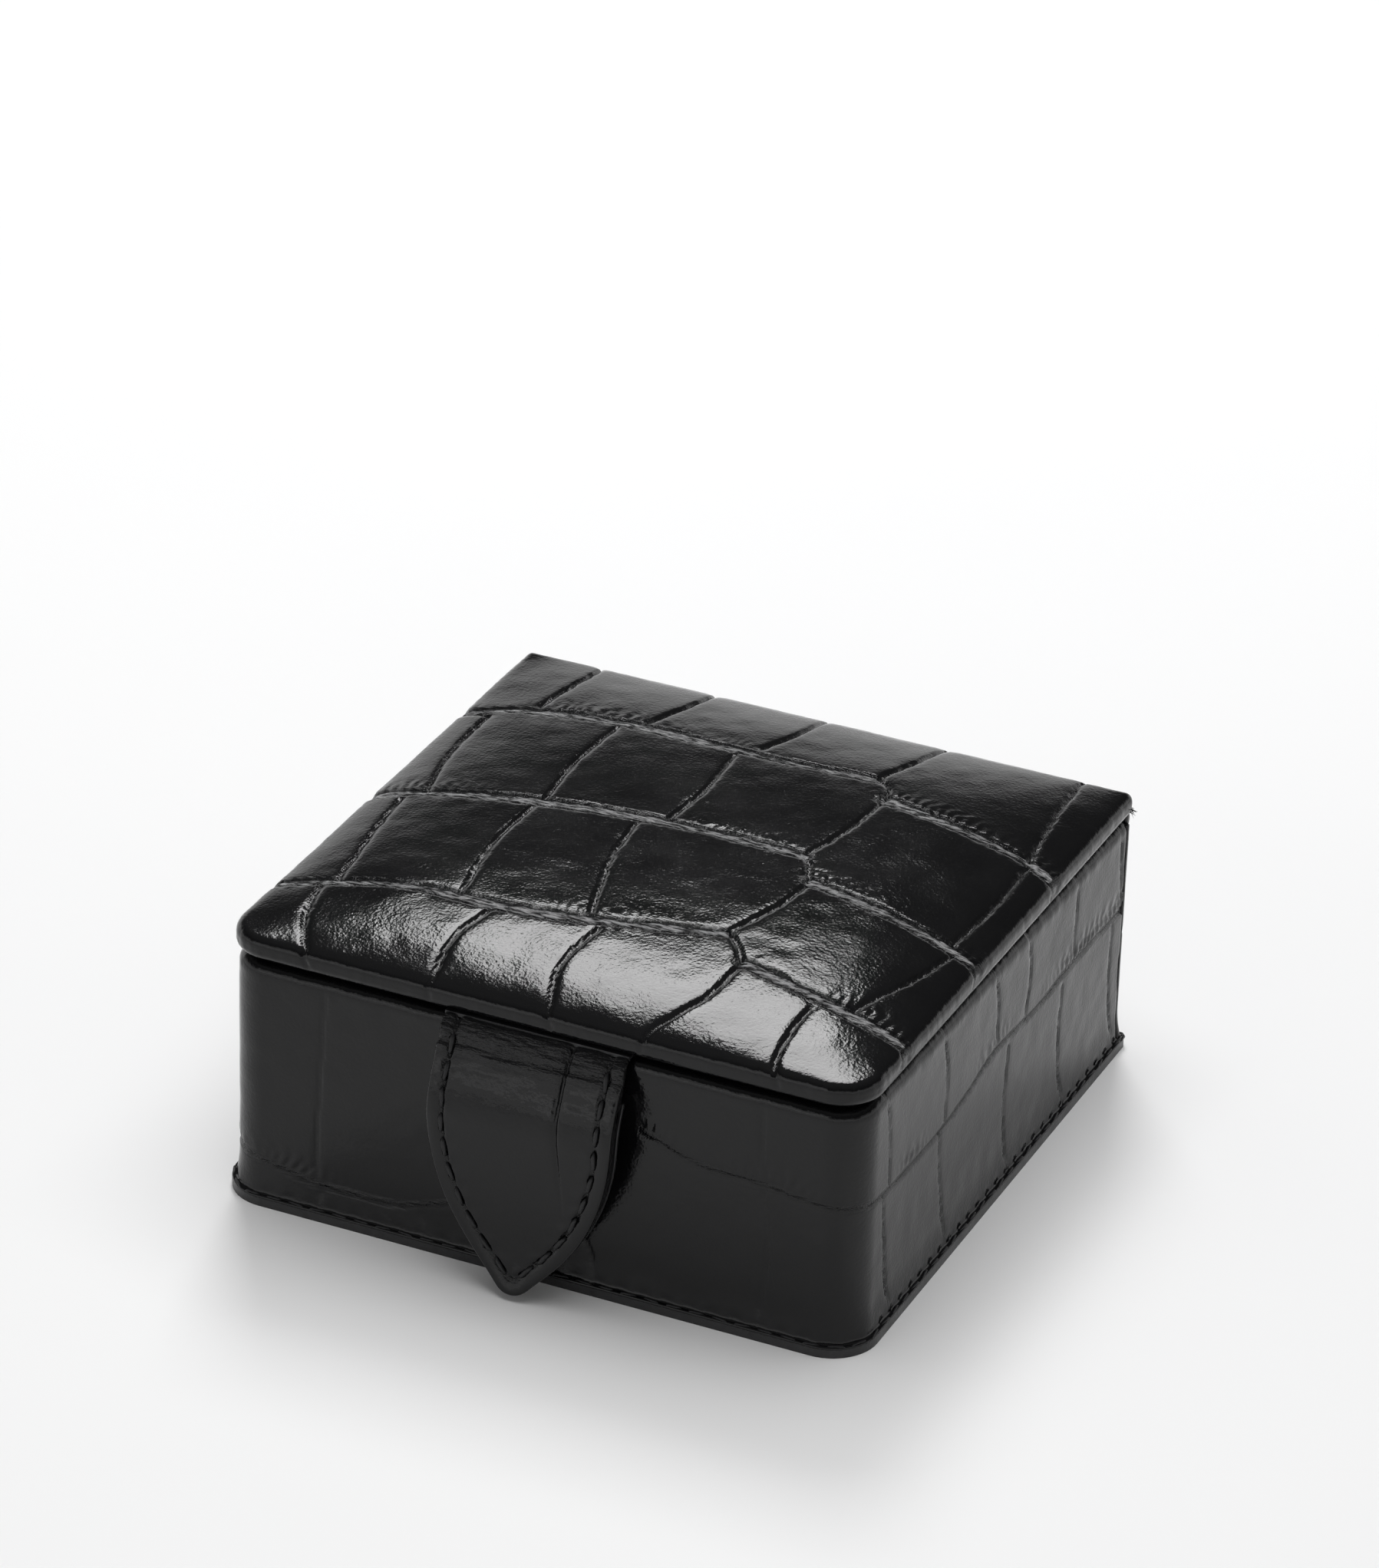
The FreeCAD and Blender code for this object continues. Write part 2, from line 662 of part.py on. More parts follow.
# ---------------------------------------------------------------- lid
LID_CROWN_TOP = LID_EDGE_TOP + dim("lid_crown")
COVERED_HALF = LID_HALF - LEATHER
COVERED_ROUND = LID_ROUND - LEATHER
UNDER_ROUND = dim("lid_under_round")
CORE_CROWN_TOP = LID_CROWN_TOP - LEATHER
CORE_EDGE_TOP = LID_BOARD_TOP + dim("foam_edge")


def vault(label, half, low, edge, crown, along, roll):
    """A block from low, whose top is one shallow arc up to crown, over edges rounded by roll."""
    rise = crown - edge
    flat = half - roll
    bend = (flat * flat + rise * rise) / (rise * 2)
    crest = ((flat, edge, roll), (-flat, edge, bend), (-half, edge - roll, roll))
    if roll.number == 0:
        crest = ((-half, edge, bend),)
    steps = ((half, low), (half, edge - roll), *crest, (-half, low))
    if along == "x":
        return run_along_x(label, half, (-half, low), *steps)
    return run_along_y(label, -half, half, (-half, low), *steps)


def dome(label, half, front_round, rear_round, low, edge, crown, roll=ZERO):
    """A slab whose top is crowned both ways."""
    plan = slab(label, half, half, front_round, rear_round, low, crown)
    across = vault(label, half, low, edge, crown, "x", roll)
    return common(label, plan, across, vault(label, half, low, edge, crown, "y", roll))


def softened(label, base, radius, wanted):
    """Rounds the edges that the function wanted picks."""
    doc.recompute()
    piece = doc.addObject("Part::Fillet", helper_name(label))
    piece.Base = base
    chosen = [index + 1 for index, edge in enumerate(base.Shape.Edges) if wanted(edge)]
    piece.Edges = [(index, radius.number, radius.number) for index in chosen]
    return piece


def make_lid_core():
    """Board and foam: the foam's edge runs out at the board's edge."""
    plan = (COVERED_HALF, COVERED_ROUND, dim("rear_round"))
    keep(slab("lid", COVERED_HALF, *plan, LID_BOARD_LOW, LID_BOARD_TOP), "lid_board")
    keep(dome("foam", *plan, LID_BOARD_TOP, CORE_EDGE_TOP, CORE_CROWN_TOP), "lid_foam")


def make_lid_leather():
    shape = (LID_HALF, LID_ROUND, dim("rear_round"), LID_LOW, LID_EDGE_TOP, LID_CROWN_TOP)
    outside = dome("cover", *shape, roll=dim("lid_round"))

    def lower(edge):
        return edge.BoundBox.ZMax < LID_LOW.number + SAME_LEVEL

    rolled = softened("cover", outside, UNDER_ROUND, lower)
    plan = (COVERED_HALF, COVERED_ROUND, dim("rear_round"))
    core = dome("core", *plan, LID_BOARD_LOW, CORE_EDGE_TOP, CORE_CROWN_TOP)
    inside = LID_HALF - dim("turn_in")
    corners = (dim("rear_round"), dim("rear_round"))
    window = slab("window", inside, inside, *corners, LID_LOW - OVERCUT, LID_BOARD_LOW)
    keep(cut("cover", cut("cover", rolled, core), window), "lid_leather")
    keep(slab("card", inside, inside, *corners, LID_LOW, LID_BOARD_LOW), "lid_filler_card")


def strap(label):
    """The tab's pared root, from the lid's front edge to under its lining."""
    half = dim("tab_width") / 2
    depth = (-LID_HALF, -LID_HALF + dim("strap_length"))
    return block(label, centred(half), depth, (LID_LOW - dim("strap_thick"), LID_LOW))


def make_lid_lining():
    """A board with a mirror under it, framed by the suede that covers both."""
    round_pad = dim("pad_round")
    board_half = PAD_HALF - SUEDE
    board_back = PAD_BACK - SUEDE
    board_low = LID_LOW - dim("lining_board_thick")
    mirror_low = board_low - dim("mirror_thick")
    pad_low = mirror_low - SUEDE
    mirror_half = dim("mirror_width") / 2
    sight = mirror_half - dim("mirror_lap")
    small = dim("mirror_round")
    board = slab("board", board_half, board_back, round_pad, round_pad, board_low, LID_LOW)
    keep(cut("board", board, strap("strap")), "lid_lining_board")
    keep(slab("mirror", mirror_half, mirror_half, small, small, mirror_low, board_low), "mirror")
    cover = slab("pad", PAD_HALF, PAD_BACK, round_pad + SUEDE, round_pad + SUEDE, pad_low, LID_LOW)
    board = slab("pad", board_half, board_back, round_pad, round_pad, board_low, LID_LOW + OVERCUT)
    seat = slab("pad", mirror_half, mirror_half, small, small, mirror_low, board_low)
    opening = slab("pad", sight, sight, small, small, pad_low - OVERCUT, mirror_low)
    for tool in (board, seat, opening, strap("strap")):
        cover = cut("pad", cover, tool)
    keep(cover, "lid_lining")


# ---------------------------------------------------------------- tab
SLOPE_SIN = sine("tab_slope")
SLOPE_COS = cosine("tab_slope")
SLOPE_TAN = tangent("tab_slope")


def tab_depth(inset, level):
    """Y of a layer's face on the sloping part, inset behind the tab's front, at a level."""
    bend = dim("tab_knee_round") - inset
    bend_top = dim("tab_knee") + bend * SLOPE_SIN
    centre = TAB_FRONT + dim("tab_knee_round")
    return centre - bend * SLOPE_COS + (as_size(level) - bend_top) * SLOPE_TAN


def tab_face(inset, top):
    """One face's line in Y and Z, from its top down: slope, knee, upright, curl."""
    bend = dim("tab_knee_round") - inset
    centre = TAB_FRONT + dim("tab_knee_round")
    upright = TAB_FRONT + inset
    curl = dim("tab_curl_round") + inset
    drop = dim("tab_curl") - dim("tab_tip_room")
    tip = TAB_FRONT - dim("tab_curl_round") + root(curl * curl - drop * drop)
    return (
        (tab_depth(inset, top), as_size(top)),
        (centre - bend * SLOPE_COS, dim("tab_knee") + bend * SLOPE_SIN),
        (upright, dim("tab_knee"), bend),
        (upright, dim("tab_curl")),
        (tip, dim("tab_tip_room"), -curl),
    )


def back_up(face):
    """The same line walked from its foot to its top."""
    places = [step[:2] for step in face]
    radii = [step[2] if len(step) == 3 else None for step in face]
    walk = [places[-1]]
    for index in range(len(face) - 1, 0, -1):
        bend = radii[index]
        walk.append(places[index - 1] if bend is None else (*places[index - 1], -bend))
    return walk


def tab_sheet(label, near, far, top):
    """A bent sheet between two insets behind the tab's front."""
    front = tab_face(near, top)
    rear = back_up(tab_face(far, top))
    return run_along_x(label, dim("tab_width"), front[0], *front[1:], *rear, front[0])


def tab_outline(label, inset):
    """The tab's shape from the front: straight sides, curved shoulders and a rounded point."""
    half = dim("tab_width") / 2 - inset
    shoulder = dim("tab_shoulder_round") - inset
    tip_bend = dim("tab_tip_round") - inset
    middle = dim("tab_width") / 2 - dim("tab_shoulder_round")
    turn_sin = sine("tab_point_angle")
    turn_cos = cosine("tab_point_angle")
    reach = middle * turn_cos + dim("tab_shoulder_round") - dim("tab_tip_round")
    tip_centre = dim("tab_shoulder") - reach / turn_sin
    flank = (middle + shoulder * turn_cos, dim("tab_shoulder") - shoulder * turn_sin)
    corner = (tip_bend * turn_cos, tip_centre - tip_bend * turn_sin)
    top = dim("rim_height")
    return run_along_y(
        label,
        CASE_FRONT * 1.3,
        CASE_FRONT,
        (half, top),
        (-half, top),
        (-half, dim("tab_shoulder")),
        (-flank[0], flank[1], shoulder),
        (-corner[0], corner[1]),
        (*corner, tip_bend),
        flank,
        (half, dim("tab_shoulder"), shoulder),
        (half, top),
    )


def make_tab():
    face_back = dim("tab_face_thick")
    back_front = face_back + dim("washer_thick")
    back_back = back_front + dim("tab_back_thick")
    top = dim("tab_layers_top")
    cover = tab_sheet("face", ZERO, face_back, dim("tab_top"))
    keep(common("face", cover, tab_outline("face", ZERO)), "tab_leather")
    filler = tab_sheet("filler", face_back, back_front, top)
    filler = common("filler", filler, tab_outline("filler", dim("filler_inset")))
    hole_radius = dim("washer_width") / 2 + dim("drill_gap")
    hole = disc("hole", hole_radius, TAB_FACE_BACK - OVERCUT, TAB_BACK_FRONT + OVERCUT)
    keep(cut("filler", filler, hole), "tab_filler")
    back = common("back", tab_sheet("back", back_front, back_back, top), tab_outline("back", ZERO))
    hole = disc("hole", SHANK_HOLE, TAB_BACK_FRONT - OVERCUT, TAB_BACK_FACE + OVERCUT)
    keep(cut("back", back, hole), "tab_back_leather")


def make_tab_root():
    keep(strap("root"), "tab_root")
    outer = tab_depth(ZERO, dim("tab_top"))
    inner = tab_depth(dim("tab_face_thick"), dim("tab_top"))
    strap_low = LID_LOW - dim("strap_thick")
    bend = run_along_x(
        "bend",
        dim("tab_width") / 2,
        (-LID_HALF, LID_LOW),
        (outer, dim("tab_top"), LID_LOW - dim("tab_top") + dim("bend_slack")),
        (inner, dim("tab_top")),
        (-LID_HALF, strap_low, -(strap_low - dim("tab_top"))),
        (-LID_HALF, LID_LOW),
    )
    keep(bend, "tab_bend")


# ---------------------------------------------------------------- stitches
def stitches(label, wires, pitch, placed):
    """Short rods of thread spaced along wires. placed moves a point of a wire to its real place."""
    length = dim("stitch_length").number
    radius = dim("thread_width").number / 2
    rods = []
    for wire in wires:
        count = round(wire.Length / pitch.number)
        marks = wire.discretize(Number=2 * count + 1)
        for before, middle, after in zip(marks[0::2], marks[1::2], marks[2::2]):
            along = (placed(after) - placed(before)).normalize()
            rods.append(Part.makeCylinder(radius, length, placed(middle) - along * (length / 2), along))
    seam = doc.addObject("Part::Feature", helper_name(label))
    seam.Shape = Part.makeCompound(rods)
    seam.Placement = Placement()
    keep(seam, label)


def corner_arc(centre, radius, first, last, normal):
    """An arc about centre, between two angles in degrees, in the plane with that normal."""
    return Part.Arc(Part.Circle(centre, normal, radius), math.radians(first), math.radians(last)).toShape()


def make_base_stitching():
    """The seam that joins the walls' foot to the base, along the middle of the foot's flat edge."""
    inset = dim("foot_land").number / 2
    side = FOOT_HALF.number - inset
    rear = FOOT_BACK.number - inset
    bend = dim("corner_round").number + dim("foot_flare").number - inset
    level = FOOT_TOP.number
    turn = side - bend
    corners = (
        Vector(side, rear, level),
        Vector(-side, rear, level),
        Vector(-side, -turn, level),
        Vector(-turn, -side, level),
        Vector(turn, -side, level),
        Vector(side, -turn, level),
    )
    up = Vector(0, 0, 1)
    edges = [
        Part.makeLine(corners[0], corners[1]),
        Part.makeLine(corners[1], corners[2]),
        corner_arc(Vector(-turn, -turn, level), bend, 180, 270, up),
        Part.makeLine(corners[3], corners[4]),
        corner_arc(Vector(turn, -turn, level), bend, 270, 360, up),
        Part.makeLine(corners[5], corners[0]),
    ]
    raised = Vector(0, 0, dim("thread_width").number / 2)
    # the rear run is spaced on its own, so that no stitch crosses one of the square rear corners
    runs = [Part.Wire(edges[:1]), Part.Wire(edges[1:])]
    stitches("base_stitching", runs, dim("stitch_pitch"), lambda place: place + raised)


def tab_front(level):
    """Y of the tab's front at a height, and the surface's tilt back from the upright, in radians."""
    bend = dim("tab_knee_round").number
    front = TAB_FRONT.number
    above = level - dim("tab_knee").number
    below = dim("tab_curl").number - level
    if below > 0:
        curl = dim("tab_curl_round").number
        return front - curl + math.sqrt(curl ** 2 - below ** 2), -math.asin(below / curl)
    if above <= 0:
        return front, 0.0
    if above < bend * SLOPE_SIN.number:
        return front + bend - math.sqrt(bend ** 2 - above ** 2), math.asin(above / bend)
    return tab_depth(ZERO, level).number, math.radians(dim("tab_slope").number)


def make_tab_stitching():
    """The seam along the tab's two sides and round its point."""
    inset = dim("seam_inset").number
    half = dim("tab_width").number / 2 - inset
    middle = dim("tab_width").number / 2 - dim("tab_shoulder_round").number
    shoulder = dim("tab_shoulder_round").number - inset
    angle = dim("tab_point_angle").number
    turn_sin = sine("tab_point_angle").number
    turn_cos = cosine("tab_point_angle").number
    level = dim("tab_shoulder").number
    top = dim("tab_layers_top").number
    flank = Vector(middle + shoulder * turn_cos, 0, level - shoulder * turn_sin)
    point = Vector(0, 0, flank.z - flank.x * turn_cos / turn_sin)
    halfway = math.radians(angle / 2)
    bulge = Vector(middle + shoulder * math.cos(halfway), 0, level - shoulder * math.sin(halfway))
    wires = []
    for sign in (-1, 1):
        start, knee, crest, turn = (
            Vector(place.x * sign, 0, place.z)
            for place in (Vector(half, 0, top), Vector(half, 0, level), bulge, flank)
        )
        round_side = Part.Arc(knee, crest, turn).toShape()
        wires.append(Part.Wire([Part.makeLine(start, knee), round_side, Part.makeLine(turn, point)]))

    raised = dim("thread_width").number / 2 + dim("thread_float").number

    def on_tab(place):
        depth, tilt = tab_front(place.z)
        outwards = Vector(0, -math.cos(tilt), math.sin(tilt))
        return Vector(place.x, depth, place.z) + outwards * raised

    stitches("tab_stitching", wires, dim("tab_stitch_pitch"), on_tab)


make_base()
make_wall_boards()
make_wall_leather()
make_back_leather()
make_wall_lining()
make_ring_rolls()
FRONT_END = -ROOM_HALF + FITTING_GAP
make_divider("long_divider", "y", FRONT_END, ROOM_BACK - FITTING_GAP, ZERO)
make_divider("cross_divider", "x", DIVIDER_HALF, ROOM_HALF - FITTING_GAP, ZERO)
make_closure()
make_hinge()
make_lid_core()
make_lid_leather()
make_lid_lining()
make_tab()
make_tab_root()
make_base_stitching()
make_tab_stitching()

doc.recompute()
faults = [piece.Name for piece in doc.Objects if set(piece.State) & {"Invalid", "Error"}]
for piece in finished:
    if piece.Shape.isNull() or not piece.Shape.isValid() or not piece.Shape.Solids:
        faults.append(piece.Label)
if faults:
    raise RuntimeError(f"failed: {faults}")
os.makedirs("parts", exist_ok=True)
for piece in finished:
    piece.Shape.exportStep(f"parts/{piece.Label}.step")
    print(f"{piece.Label:24s} {piece.Shape.Volume:10.2f} mm3  {len(piece.Shape.Solids)} solid(s)")
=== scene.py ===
import math

import bmesh
import bpy
import numpy as np
from mathutils import Matrix, Vector


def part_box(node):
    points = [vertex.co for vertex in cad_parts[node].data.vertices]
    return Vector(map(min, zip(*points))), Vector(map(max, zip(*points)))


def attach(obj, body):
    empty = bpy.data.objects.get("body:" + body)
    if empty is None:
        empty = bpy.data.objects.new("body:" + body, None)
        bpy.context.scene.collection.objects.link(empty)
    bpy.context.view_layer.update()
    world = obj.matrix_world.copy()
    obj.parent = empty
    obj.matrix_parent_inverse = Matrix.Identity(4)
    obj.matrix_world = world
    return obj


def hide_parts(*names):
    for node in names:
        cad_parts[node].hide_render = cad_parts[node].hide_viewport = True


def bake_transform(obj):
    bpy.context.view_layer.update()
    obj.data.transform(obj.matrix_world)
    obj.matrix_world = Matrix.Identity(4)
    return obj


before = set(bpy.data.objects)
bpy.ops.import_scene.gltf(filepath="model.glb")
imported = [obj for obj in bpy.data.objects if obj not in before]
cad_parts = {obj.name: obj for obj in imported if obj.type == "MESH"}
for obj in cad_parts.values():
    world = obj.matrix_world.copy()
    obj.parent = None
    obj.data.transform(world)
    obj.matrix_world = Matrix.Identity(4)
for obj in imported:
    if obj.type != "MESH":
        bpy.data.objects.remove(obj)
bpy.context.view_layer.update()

scene = bpy.context.scene
MM = 0.001  # lengths below are in millimetres, apart from those of materials and the stage


def low(node):
    """The lower corner of a CAD node's box."""
    return np.array(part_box(node)[0]) / MM


def high(node):
    """The upper corner of a CAD node's box."""
    return np.array(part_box(node)[1]) / MM


# ---- shape tools


def noise(u, v, cell_u, cell_v, seed):
    """Smooth noise from -1 to 1 with cells of the given size."""
    size = 128
    table = np.random.default_rng(seed).uniform(-1, 1, (size, size))
    a = u / cell_u
    b = v / cell_v
    i = np.floor(a).astype(int)
    j = np.floor(b).astype(int)
    s = (a - i) ** 2 * (3 - 2 * (a - i))
    t = (b - j) ** 2 * (3 - 2 * (b - j))
    near = table[i % size, j % size] * (1 - t) + table[i % size, (j + 1) % size] * t
    far = table[(i + 1) % size, j % size] * (1 - t) + table[(i + 1) % size, (j + 1) % size] * t
    return near * (1 - s) + far * s


def streaks(along, cell, seed):
    """Smooth noise that varies along a line only."""
    return noise(along, 0 * along, cell, 1.0, seed)


def edge_round(distance, radius):
    """How far a rounded edge has dropped at a distance in from it, as a negative lift."""
    inside = np.maximum(0, radius - distance)
    return np.sqrt(np.maximum(0, radius**2 - inside**2)) - radius


def bell(distance, width):
    """One at no distance, falling smoothly to nothing beyond the width."""
    return np.exp(-((distance / width) ** 2))


def curve(points, per_span=8):
    """A smooth curve through the points (Catmull-Rom)."""
    p = np.array(points, float)
    p = np.vstack((2 * p[0] - p[1], p, 2 * p[-1] - p[-2]))
    t = np.linspace(0, 1, per_span, endpoint=False)[:, None]
    spans = []
    for a, b, c, d in zip(p, p[1:], p[2:], p[3:]):
        square = 2 * a - 5 * b + 4 * c - d
        cube = 3 * b - a - 3 * c + d
        spans.append(0.5 * (2 * b + (c - a) * t + square * t**2 + cube * t**3))
    return np.vstack(spans + [p[-2:-1]])


def nearest(u, v, line, reach):
    """The points within reach of a line: their numbers, and their distances across and along it."""
    first, last = line.min(0) - reach, line.max(0) + reach
    near = np.flatnonzero((u > first[0]) & (u < last[0]) & (v > first[1]) & (v < last[1]))
    point = np.stack((u[near], v[near]), 1)[:, None]
    step = (line[1:] - line[:-1])[None]
    share = np.clip(((point - line[:-1]) * step).sum(2) / (step * step).sum(2), 0, 1)
    gap = point - line[:-1] - share[..., None] * step
    distance = np.hypot(gap[..., 0], gap[..., 1])
    k = distance.argmin(1)
    row = np.arange(len(near))
    side = np.sign(step[0, k, 0] * gap[row, k, 1] - step[0, k, 1] * gap[row, k, 0])
    spans = np.hypot(step[0, :, 0], step[0, :, 1])
    along = np.concatenate(([0], spans.cumsum()))[k] + share[row, k] * spans[k]
    return near, side * distance[row, k], along


def grid_faces(rows, columns, closed_rows=False, closed_columns=False):
    """Four-sided faces between the points of a grid, which may close on itself either way."""
    i = np.arange(rows if closed_rows else rows - 1)[:, None]
    j = np.arange(columns if closed_columns else columns - 1)[None]
    i1 = (i + 1) % rows
    j1 = (j + 1) % columns
    corners = (i * columns + j, i1 * columns + j, i1 * columns + j1, i * columns + j1)
    return np.stack(np.broadcast_arrays(*corners), -1).reshape(-1, 4)


def rim_of(rows, columns):
    """The numbers of the points round the edge of a grid."""
    index = np.arange(rows * columns).reshape(rows, columns)
    return np.concatenate((index[:-1, 0], index[-1, :-1], index[:0:-1, -1], index[0, :0:-1]))


def piece(name, points, faces, material, body=None, stands_for=(), painted_sheen=None):
    """A closed mesh from points in millimetres."""
    mesh = bpy.data.meshes.new(name)
    mesh.from_pydata((np.asarray(points) * MM).tolist(), [], [list(f) for f in faces])
    # a share per point of the leather's painted sheen
    if painted_sheen is not None:
        mesh.attributes.new("painted_sheen", "FLOAT", "POINT").data.foreach_set("value", painted_sheen.astype(np.float32))
    shape = bmesh.new()
    shape.from_mesh(mesh)
    bmesh.ops.recalc_face_normals(shape, faces=shape.faces)
    shape.to_mesh(mesh)
    shape.free()
    mesh.polygons.foreach_set("use_smooth", [True] * len(mesh.polygons))
    mesh.materials.append(material)
    made = bpy.data.objects.new(name, mesh)
    scene.collection.objects.link(made)
    if body:
        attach(made, body)
    if stands_for:
        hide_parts(*stands_for)
    return made


def stations(half, front, rear, round_front, step, closed=False, round_rear=0.3):
    """Places along a rounded rectangle: x, y, outward x and y, and the length from the front's middle."""

    def line(a, b, normal):
        count = max(2, int(np.hypot(b[0] - a[0], b[1] - a[1]) / step))
        t = np.linspace(0, 1, count, endpoint=False)
        return [(a[0] + (b[0] - a[0]) * s, a[1] + (b[1] - a[1]) * s, *normal) for s in t]

    def arc(centre, radius, start):
        count = max(4, int(radius * math.pi / 2 / step))
        turn = np.radians(start) + np.linspace(0, math.pi / 2, count, endpoint=False)
        ways = zip(np.cos(turn), np.sin(turn))
        return [(centre[0] + radius * c, centre[1] + radius * s, c, s) for c, s in ways]

    rear_end = rear - (round_rear if closed else 0)
    places = line((-half, rear_end), (-half, front + round_front), (-1, 0))
    places += arc((-half + round_front, front + round_front), round_front, 180)
    places += line((-half + round_front, front), (half - round_front, front), (0, -1))
    places += arc((half - round_front, front + round_front), round_front, 270)
    places += line((half, front + round_front), (half, rear_end), (1, 0))
    if closed:
        places += arc((half - round_rear, rear_end), round_rear, 0)
        places += line((half - round_rear, rear), (-half + round_rear, rear), (0, 1))
        places += arc((-half + round_rear, rear_end), round_rear, 90)
    else:
        places.append((half, rear, 1, 0))
    places = np.array(places)
    spans = np.hypot(np.diff(places[:, 0]), np.diff(places[:, 1]))
    length = np.concatenate(([0], spans.cumsum()))
    aside = np.where(places[:, 1] < front + 1, np.abs(places[:, 0]), np.inf)
    middle = length[np.argmin(aside)]
    return np.column_stack((places, length - middle))


def sweep(name, places, section, material, closed=False, relief=None, **options):
    """A closed section, as (distance outwards, height), carried along the places.

    relief(along, outward, level) gives its lift and the share of painted sheen on its strands.
    """
    section = np.array(section, float)
    tangent = np.roll(section, -1, 0) - np.roll(section, 1, 0)
    tangent /= np.maximum(np.hypot(tangent[:, 0], tangent[:, 1]), 1e-6)[:, None]
    area = (section[:, 0] * np.roll(section[:, 1], -1) - np.roll(section[:, 0], -1) * section[:, 1]).sum()
    facing = np.column_stack((tangent[:, 1], -tangent[:, 0])) * np.sign(area)
    outward = np.broadcast_to(section[:, 0], (len(places), len(section))).copy()
    level = np.broadcast_to(section[:, 1], outward.shape).copy()
    painted_sheen = None
    if relief:
        along = np.broadcast_to(places[:, 4, None], outward.shape)
        lift, painted_sheen = relief(along, outward.copy(), level.copy())
        outward += lift * facing[:, 0]
        level += lift * facing[:, 1]
        painted_sheen = painted_sheen.ravel()
    x = places[:, 0, None] + outward * places[:, 2, None]
    y = places[:, 1, None] + outward * places[:, 3, None]
    points = np.stack((x, y, level), -1).reshape(-1, 3)
    rows, columns = outward.shape
    faces = grid_faces(rows, columns, closed, True).tolist()
    if not closed:
        faces += [list(range(columns)), list(range((rows - 1) * columns, rows * columns))]
    return piece(name, points, faces, material, painted_sheen=painted_sheen, **options)


def rounded_ring(a, b, half_x, half_y, round_front, round_rear, middle_y):
    """Points on a rounded rectangle for points a, b of a square's edge, and the outward directions."""
    radius = np.where(b < 0, round_front, round_rear)
    inner_x = np.clip(a * half_x, radius - half_x, half_x - radius)
    inner_y = np.clip(b * half_y, radius - half_y, half_y - radius)
    out = np.stack((a * half_x - inner_x, b * half_y - inner_y), -1)
    out /= np.maximum(np.hypot(out[..., 0], out[..., 1]), 1e-9)[..., None]
    return np.stack((inner_x, inner_y + middle_y), -1) + out * radius[..., None], out


RIM_FADE = 14  # the power by which the rim's unevenness fades towards the middle of a pillow's top


def pillow(
    name, half_x, half_y, middle_y, rounds, top_inset, crown, rings, step, material,
    relief=None, middle_x=0.0, **options
):
    """A crowned closed form: a domed top, rings of (inset, height, tilt) down its sides, a flat base.

    crown(a, b) gives the top's height over a square from -1 to 1.
    relief(u, v, skirt) gives the lift and the share of painted sheen, where skirt is how far down the
    side the point is.
    """
    count_x = max(6, int(2 * half_x / step))
    count_y = max(6, int(2 * half_y / step))
    a, b = np.meshgrid(np.linspace(-1, 1, count_x), np.linspace(-1, 1, count_y), indexing="ij")
    size = np.maximum(np.maximum(np.abs(a), np.abs(b)), 1e-9)
    edge, _ = rounded_ring(
        a / size, b / size, half_x - top_inset, half_y - top_inset,
        max(rounds[0] - top_inset, 0.2), max(rounds[1] - top_inset, 0.2), 0.0,
    )
    plan = edge * size[..., None]
    u, v = plan[..., 0].ravel(), plan[..., 1].ravel() + middle_y
    far_x, far_y = half_x - top_inset, half_y - top_inset
    excess = crown(edge[..., 0] / far_x, edge[..., 1] / far_y) - crown(np.ones_like(a), 0 * a)
    top = (crown(plan[..., 0] / far_x, plan[..., 1] / far_y) - excess * size**RIM_FADE).ravel()
    points = [np.stack((u, v, top), -1)]
    lifts = np.zeros_like(top)
    painted_sheen = [np.zeros_like(top)]
    if relief:
        lifts, sheen_share = relief(u, v, 0 * u)
        points[0][:, 2] += lifts
        painted_sheen = [sheen_share]
    rim = rim_of(count_x, count_y)
    faces = grid_faces(count_x, count_y).tolist()
    rim_a, rim_b = a.ravel()[rim], b.ravel()[rim]
    _, out = rounded_ring(rim_a, rim_b, half_x, half_y, *rounds, 0.0)
    previous = rim
    run = 0.0
    last = (top_inset, float(top[rim].mean()))
    start = len(top)
    for inset, level, tilt in rings:
        run += math.hypot(inset - last[0], level - last[1])
        last = (inset, level)
        ring, _ = rounded_ring(
            rim_a, rim_b, half_x - inset, half_y - inset,
            max(rounds[0] - inset, 0.15), max(rounds[1] - inset, 0.15), middle_y,
        )
        place = np.column_stack((ring, np.full(len(rim), level)))
        sheen_share = np.zeros(len(rim))
        if relief and tilt is not None:
            skirt = np.full(len(rim), run)
            lift, sheen_share = relief(u[rim] + out[:, 0] * run, v[rim] + out[:, 1] * run, skirt)
            place[:, :2] += out * (lift * math.sin(tilt))[:, None]
            place[:, 2] += lift * math.cos(tilt)
        points.append(place)
        painted_sheen.append(sheen_share)
        current = np.arange(start, start + len(rim))
        start += len(rim)
        faces += np.stack((previous, current, np.roll(current, -1), np.roll(previous, -1)), 1).tolist()
        previous = current
    faces.append(previous.tolist())
    points = np.vstack(points)
    points[:, 0] += middle_x
    return piece(name, points, faces, material, painted_sheen=np.concatenate(painted_sheen), **options)


